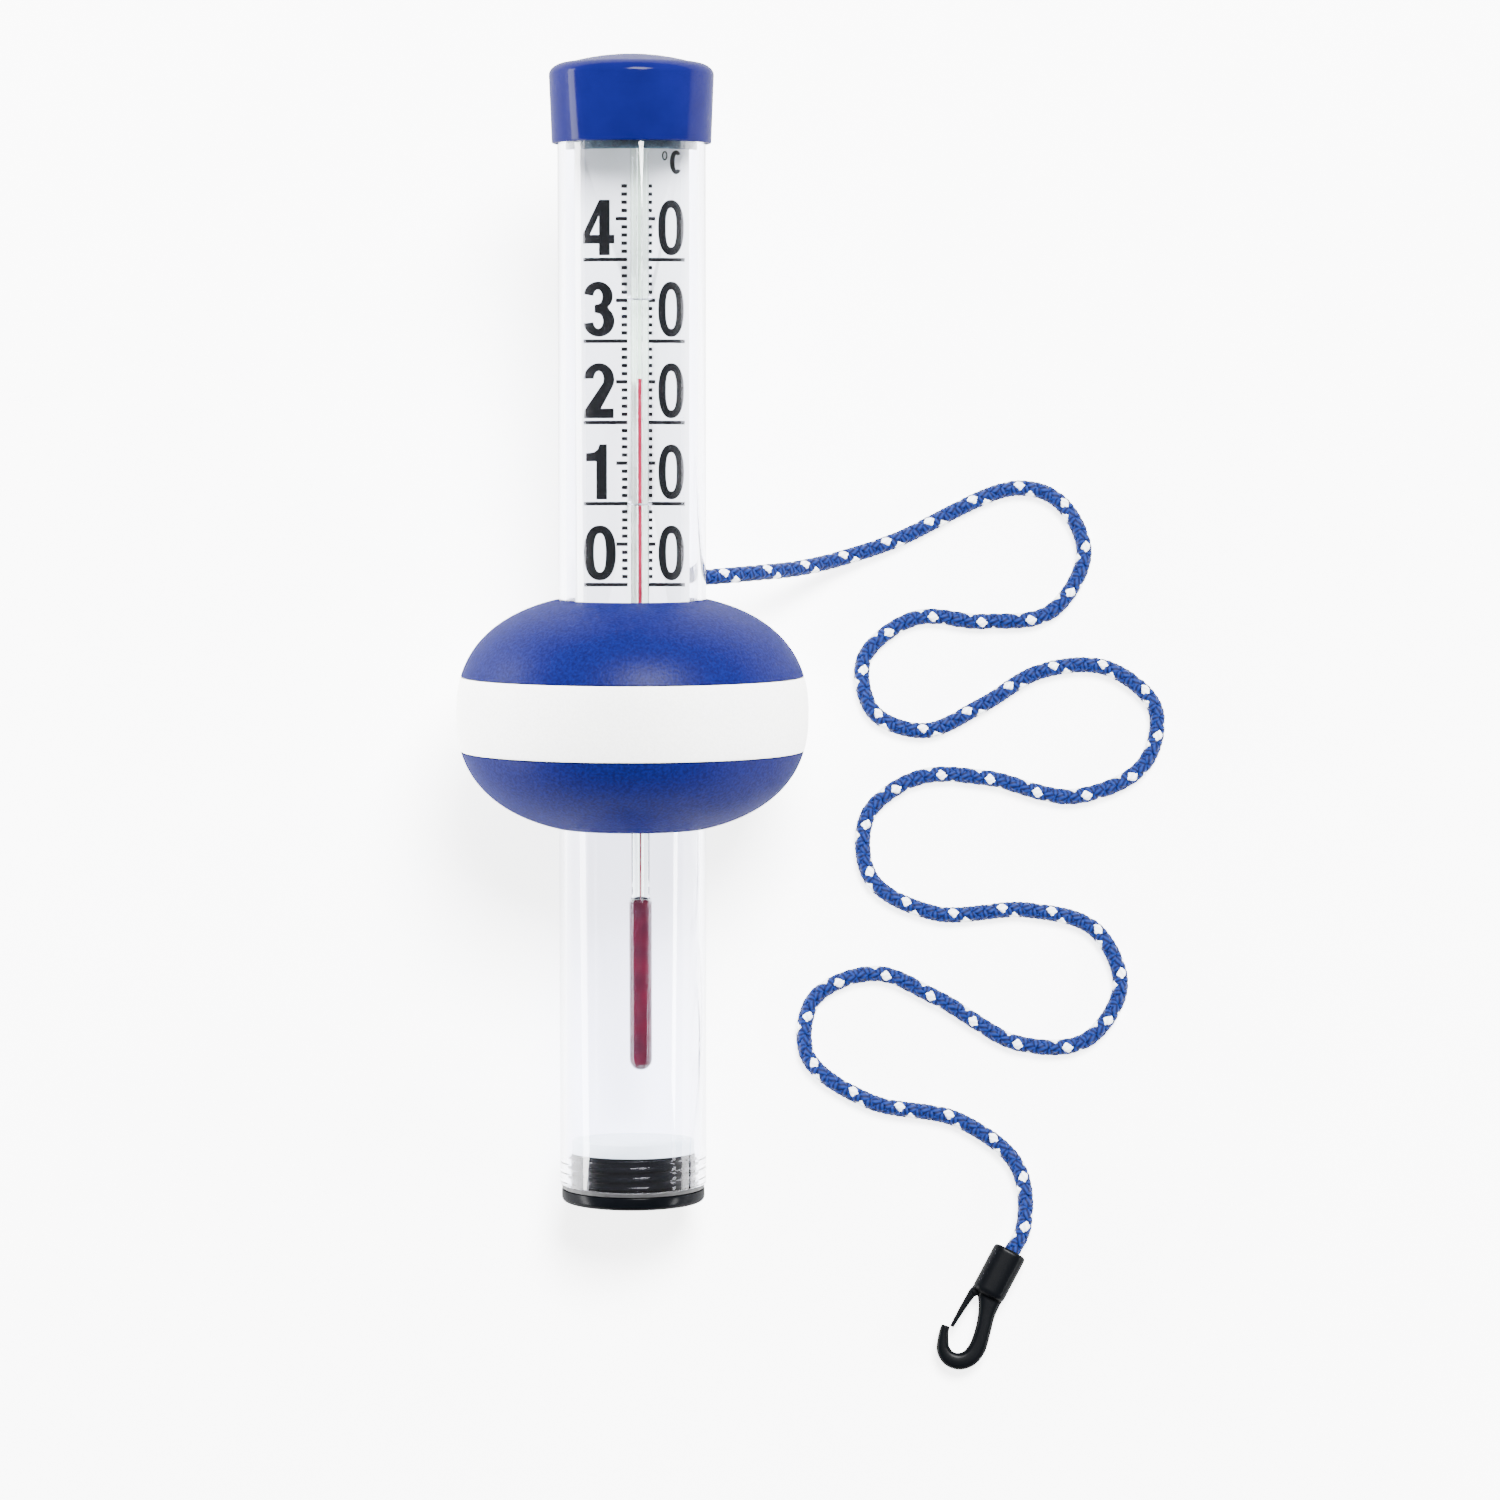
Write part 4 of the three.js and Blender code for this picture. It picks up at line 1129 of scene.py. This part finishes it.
def swept_bar(stations, thickness, steps, power=3.2):
    """A bar along a centre line of (x, y, half width) stations, its section a rounded oblong."""
    points = smooth_line([Vector(s) for s in stations], steps)
    bm = bmesh.new()
    rings = []
    sides = 24
    for i, point in enumerate(points):
        ahead = points[min(i + 1, len(points) - 1)] - points[max(i - 1, 0)]
        ahead.z = 0
        ahead.normalize()
        out = Vector((-ahead.y, ahead.x, 0))
        made = bmesh.ops.create_circle(bm, cap_ends=False, radius=1, segments=sides)["verts"]
        for vertex in made:
            c, s = vertex.co.x, vertex.co.y
            wide = math.copysign(abs(c) ** (2 / power), c) * point.z * MM
            high = math.copysign(abs(s) ** (2 / power), s) * thickness / 2
            vertex.co = Vector((point.x, point.y, 0)) * MM + out * wide + Vector((0, 0, high))
        rings.append(made)
    for first, second in zip(rings, rings[1:]):
        edges = [e for v in first + second for e in v.link_edges]
        kept = {e for e in edges if all(v in first for v in e.verts) or all(v in second for v in e.verts)}
        bmesh.ops.bridge_loops(bm, edges=list(kept))
    for ring in (rings[0], rings[-1]):
        bmesh.ops.contextual_create(bm, geom=ring)
    bmesh.ops.recalc_face_normals(bm, faces=bm.faces)
    return bm


# Centre lines of the hook's bars, as (x, y, half width) in millimetres. The gate's line starts at
# its hinge.
HOOK_LINE = [
    (-0.7, 9, 4.2), (-1.1, 15.2, 4.1), (-1.9, 18.2, 3.2), (-2.8, 21.6, 2.6), (-4, 26, 2.5),
    (-4.9, 31.5, 2.7), (-4.2, 35.2, 2.7), (-1.9, 37.7, 2.6), (1.3, 38.3, 2.4), (4.1, 36.8, 2.1),
    (5.6, 34.2, 1.75), (6.6, 31.6, 1.45), (6.9, 29.9, 1.35),
]
GATE_ROOT = [(1.9, 11, 2.6), (2.6, 13.4, 2.1), (3.6, 15.4, 1.65), (4.4, 17.3, 1.4)]
GATE_LINE = [(0, -0.5, 1.3), (0.1, 0.8, 1.2), (0.3, 3, 1.05), (0.55, 7, 0.85), (0.75, 12, 0.6)]
HOOK_THICKNESS = 4.6 * MM
ROOT_THICKNESS = 3.6 * MM
GATE_THICKNESS = 3 * MM
BAR_STEPS = 6
SLEEVE_RADIUS = 4.8 * MM
SLEEVE_LENGTH = 15.9 * MM


def hook_body():
    """A blunt sleeve with its bore, run into the hook's bar and moulded as one."""
    bore = ROPE_RADIUS + 0.4 * MM
    room = 3.7 * MM
    start, end = 7 * MM, 13.6 * MM
    window = 3.2 * MM
    widening = 1.1
    squareness = 2.8
    profile = [
        (0, end), (room, end), (room, start), (bore, start), (bore, 0.6 * MM), (bore + 0.6 * MM, 0),
        *arc(SLEEVE_RADIUS - MM, MM, MM, -90, 0, 4),
        *arc(SLEEVE_RADIUS - 1.6 * MM, SLEEVE_LENGTH - 1.6 * MM, 1.6 * MM, 0, 90, 5),
        (0, SLEEVE_LENGTH),
    ]
    lay = Matrix.Rotation(-math.pi / 2, 4, "X")
    sleeve = turned("sleeve", profile, 48)
    for vertex in sleeve.vertices:
        x, y = vertex.co.x, vertex.co.y
        radius = math.hypot(x, y)
        if radius > room + 0.1 * MM:
            total = abs(x / radius) ** squareness + abs(y / radius) ** squareness
            square = total ** (-1 / squareness)
            vertex.co.x *= widening * square
            vertex.co.y *= square
    sleeve.transform(lay)
    bar_mesh = mesh_of(swept_bar(HOOK_LINE, HOOK_THICKNESS, BAR_STEPS), "bar")
    root = mesh_of(swept_bar(GATE_ROOT, ROOT_THICKNESS, BAR_STEPS), "root")
    cast = combined("hook", combined("hook", sleeve, bar_mesh, "UNION"), root, "UNION")
    low = (-window, start + GAP, -2 * SLEEVE_RADIUS)
    high = (window, end - GAP, 0)
    cast = combined("hook", cast, mesh_of(box_bmesh(low, high), "window"), "DIFFERENCE")
    hollow = turned("hollow", [(0, start), (room, start), (room, end), (0, end)], 48)
    hollow.transform(lay)
    cast = combined("hook", cast, hollow, "DIFFERENCE")
    made = in_scene("cast", cast)
    remesh = made.modifiers.new("mould", "REMESH")
    remesh.mode = "VOXEL"
    remesh.voxel_size = 0.2 * MM
    smooth = made.modifiers.new("fillets", "SMOOTH")
    smooth.factor = 0.5
    smooth.iterations = 9
    mesh = evaluated(made, "hook")
    bpy.data.objects.remove(made)
    mesh.shade_smooth()
    return piece("snap_hook", mesh, HOOK_BLACK, "thermometer", HOOK, ["hook_body"])


def hook_gate():
    """The springy tongue that closes the hook's mouth."""
    pivot = HOOK.inverted() @ Vector(JOINTS["gate_spring"]["pos_m"])
    mesh = mesh_of(swept_bar(GATE_LINE, GATE_THICKNESS, BAR_STEPS, 2.6), "gate")
    place = HOOK @ Matrix.Translation(pivot)
    return piece("gate_tongue", mesh, HOOK_BLACK, "gate", place, ["hook_gate"])


# ---- Camera, light and floor ----

CAMERA_ELEVATION = math.radians(81.6)
CAMERA_DISTANCE = 1.5
AIM_ACROSS = 0.0359  # the picture's middle, to the right of the tube's axis
AIM_ALONG = 0.1388  # and up the tube from its foot
KEY_POWER = 270
STRIP_POWER = 26
FLOOR_GLOW = 4.0
HORIZON_GLOW = 1.0
CEILING_GLOW = 0.25


def camera():
    """Looks down at the lying thermometer, square to its scale but for a few degrees."""
    target = Vector((AIM_ACROSS, 0, 0)) + FOOT + ALONG * AIM_ALONG - Vector((FOOT.x, 0, 0))
    back = Vector((0, -math.cos(CAMERA_ELEVATION), math.sin(CAMERA_ELEVATION)))
    data = bpy.data.cameras.new("camera")
    data.lens = 117.75
    data.sensor_width = 36
    made = in_scene("camera", data)
    made.location = target + back * CAMERA_DISTANCE
    made.rotation_mode = "QUATERNION"
    made.rotation_quaternion = (-back).to_track_quat("-Z", "Y")
    bpy.context.scene.camera = made


def soft_light(name, place, target, width, height, power):
    """A white lamp of this size that faces its target."""
    data = bpy.data.lights.new(name, "AREA")
    data.shape = "RECTANGLE"
    data.size = width
    data.size_y = height
    data.energy = power
    made = in_scene(name, data)
    made.location = place
    made.rotation_mode = "QUATERNION"
    made.rotation_quaternion = (Vector(target) - Vector(place)).to_track_quat("-Z", "Y")


def studio():
    """A key light high beyond the cap, and a low strip on each side."""
    soft_light("key", (0.4, 0.75, 1.9), (0.03, 0, 0), 0.9, 0.9, KEY_POWER)
    soft_light("left_strip", (-0.7, 0.05, 0.1), (0, 0.05, 0.05), 1.0, 0.15, STRIP_POWER)
    soft_light("right_strip", (0.8, -0.31, 0.27), (0, -0.12, 0.04), 0.34, 0.1, 0.3 * STRIP_POWER)
    floor = bmesh.new()
    bmesh.ops.create_circle(floor, cap_ends=True, radius=4, segments=64)
    mesh = mesh_of(floor, "floor")
    mesh.materials.append(studio_floor())
    made = in_scene("floor", mesh)
    world = bpy.data.worlds.new("studio")
    world.use_nodes = True
    bpy.context.scene.world = world
    tree = world.node_tree
    tree.nodes.clear()
    height = add(tree, "SeparateXYZ", None, {0: add(tree, "TexCoord").outputs["Generated"]}).outputs["Z"]
    settings = {"From Min": 0.02, "From Max": 0.45, "To Min": HORIZON_GLOW, "To Max": CEILING_GLOW}
    glow = add(tree, "MapRange", settings, {"Value": height}).outputs["Result"]
    sky = add(tree, "Background", {"Color": linear("FFFFFF")}, {"Strength": glow})
    add(tree, "OutputWorld", links={"Surface": sky.outputs[0]})


# ---- The whole thing ----

camera()
rope_line = smooth_line(ROPE_POINTS, 24)
rope, rope_path = braided_piece(
    "braided_rope", rope_line, ROPE_RADIUS, BRAID_PITCH, BRAID_STEP, "rope",
)
lug_stopper = tight_knot("lug_stopper_knot", "lug_knot", ACROSS)
hook_stopper = tight_knot("hook_stopper_knot", "hook_knot", hook_along)
snap_hook = hook_body()
gate = hook_gate()
rope_length = even_line(rope_line, BRAID_STEP)[1]

outer_tube()
bottom_plug()
ballast_weight()
top_cap()
float_pieces()
scale_plate()
scale_print()
glass_stem()
spirit_reservoir()
spirit_column()

CARRIED_OVER = {
    "plug_gasket": RUBBER, "cap_gasket": RUBBER, "float_seal_upper": RUBBER,
    # The holders' dark foam is painted shade: it shows as the cap's shadow just below the cap.
    "float_seal_lower": RUBBER, "upper_holder": FOAM_PAINTED_SHADE, "lower_holder": FOAM_PAINTED_SHADE,
    "stem_tie_upper": WIRE, "stem_tie_lower": WIRE, "spirit_thread": THIN_SPIRIT,
}
for name, material in CARRIED_OVER.items():
    node = frame["nodes"][name]
    node.data.materials.clear()
    node.data.materials.append(material)

studio()
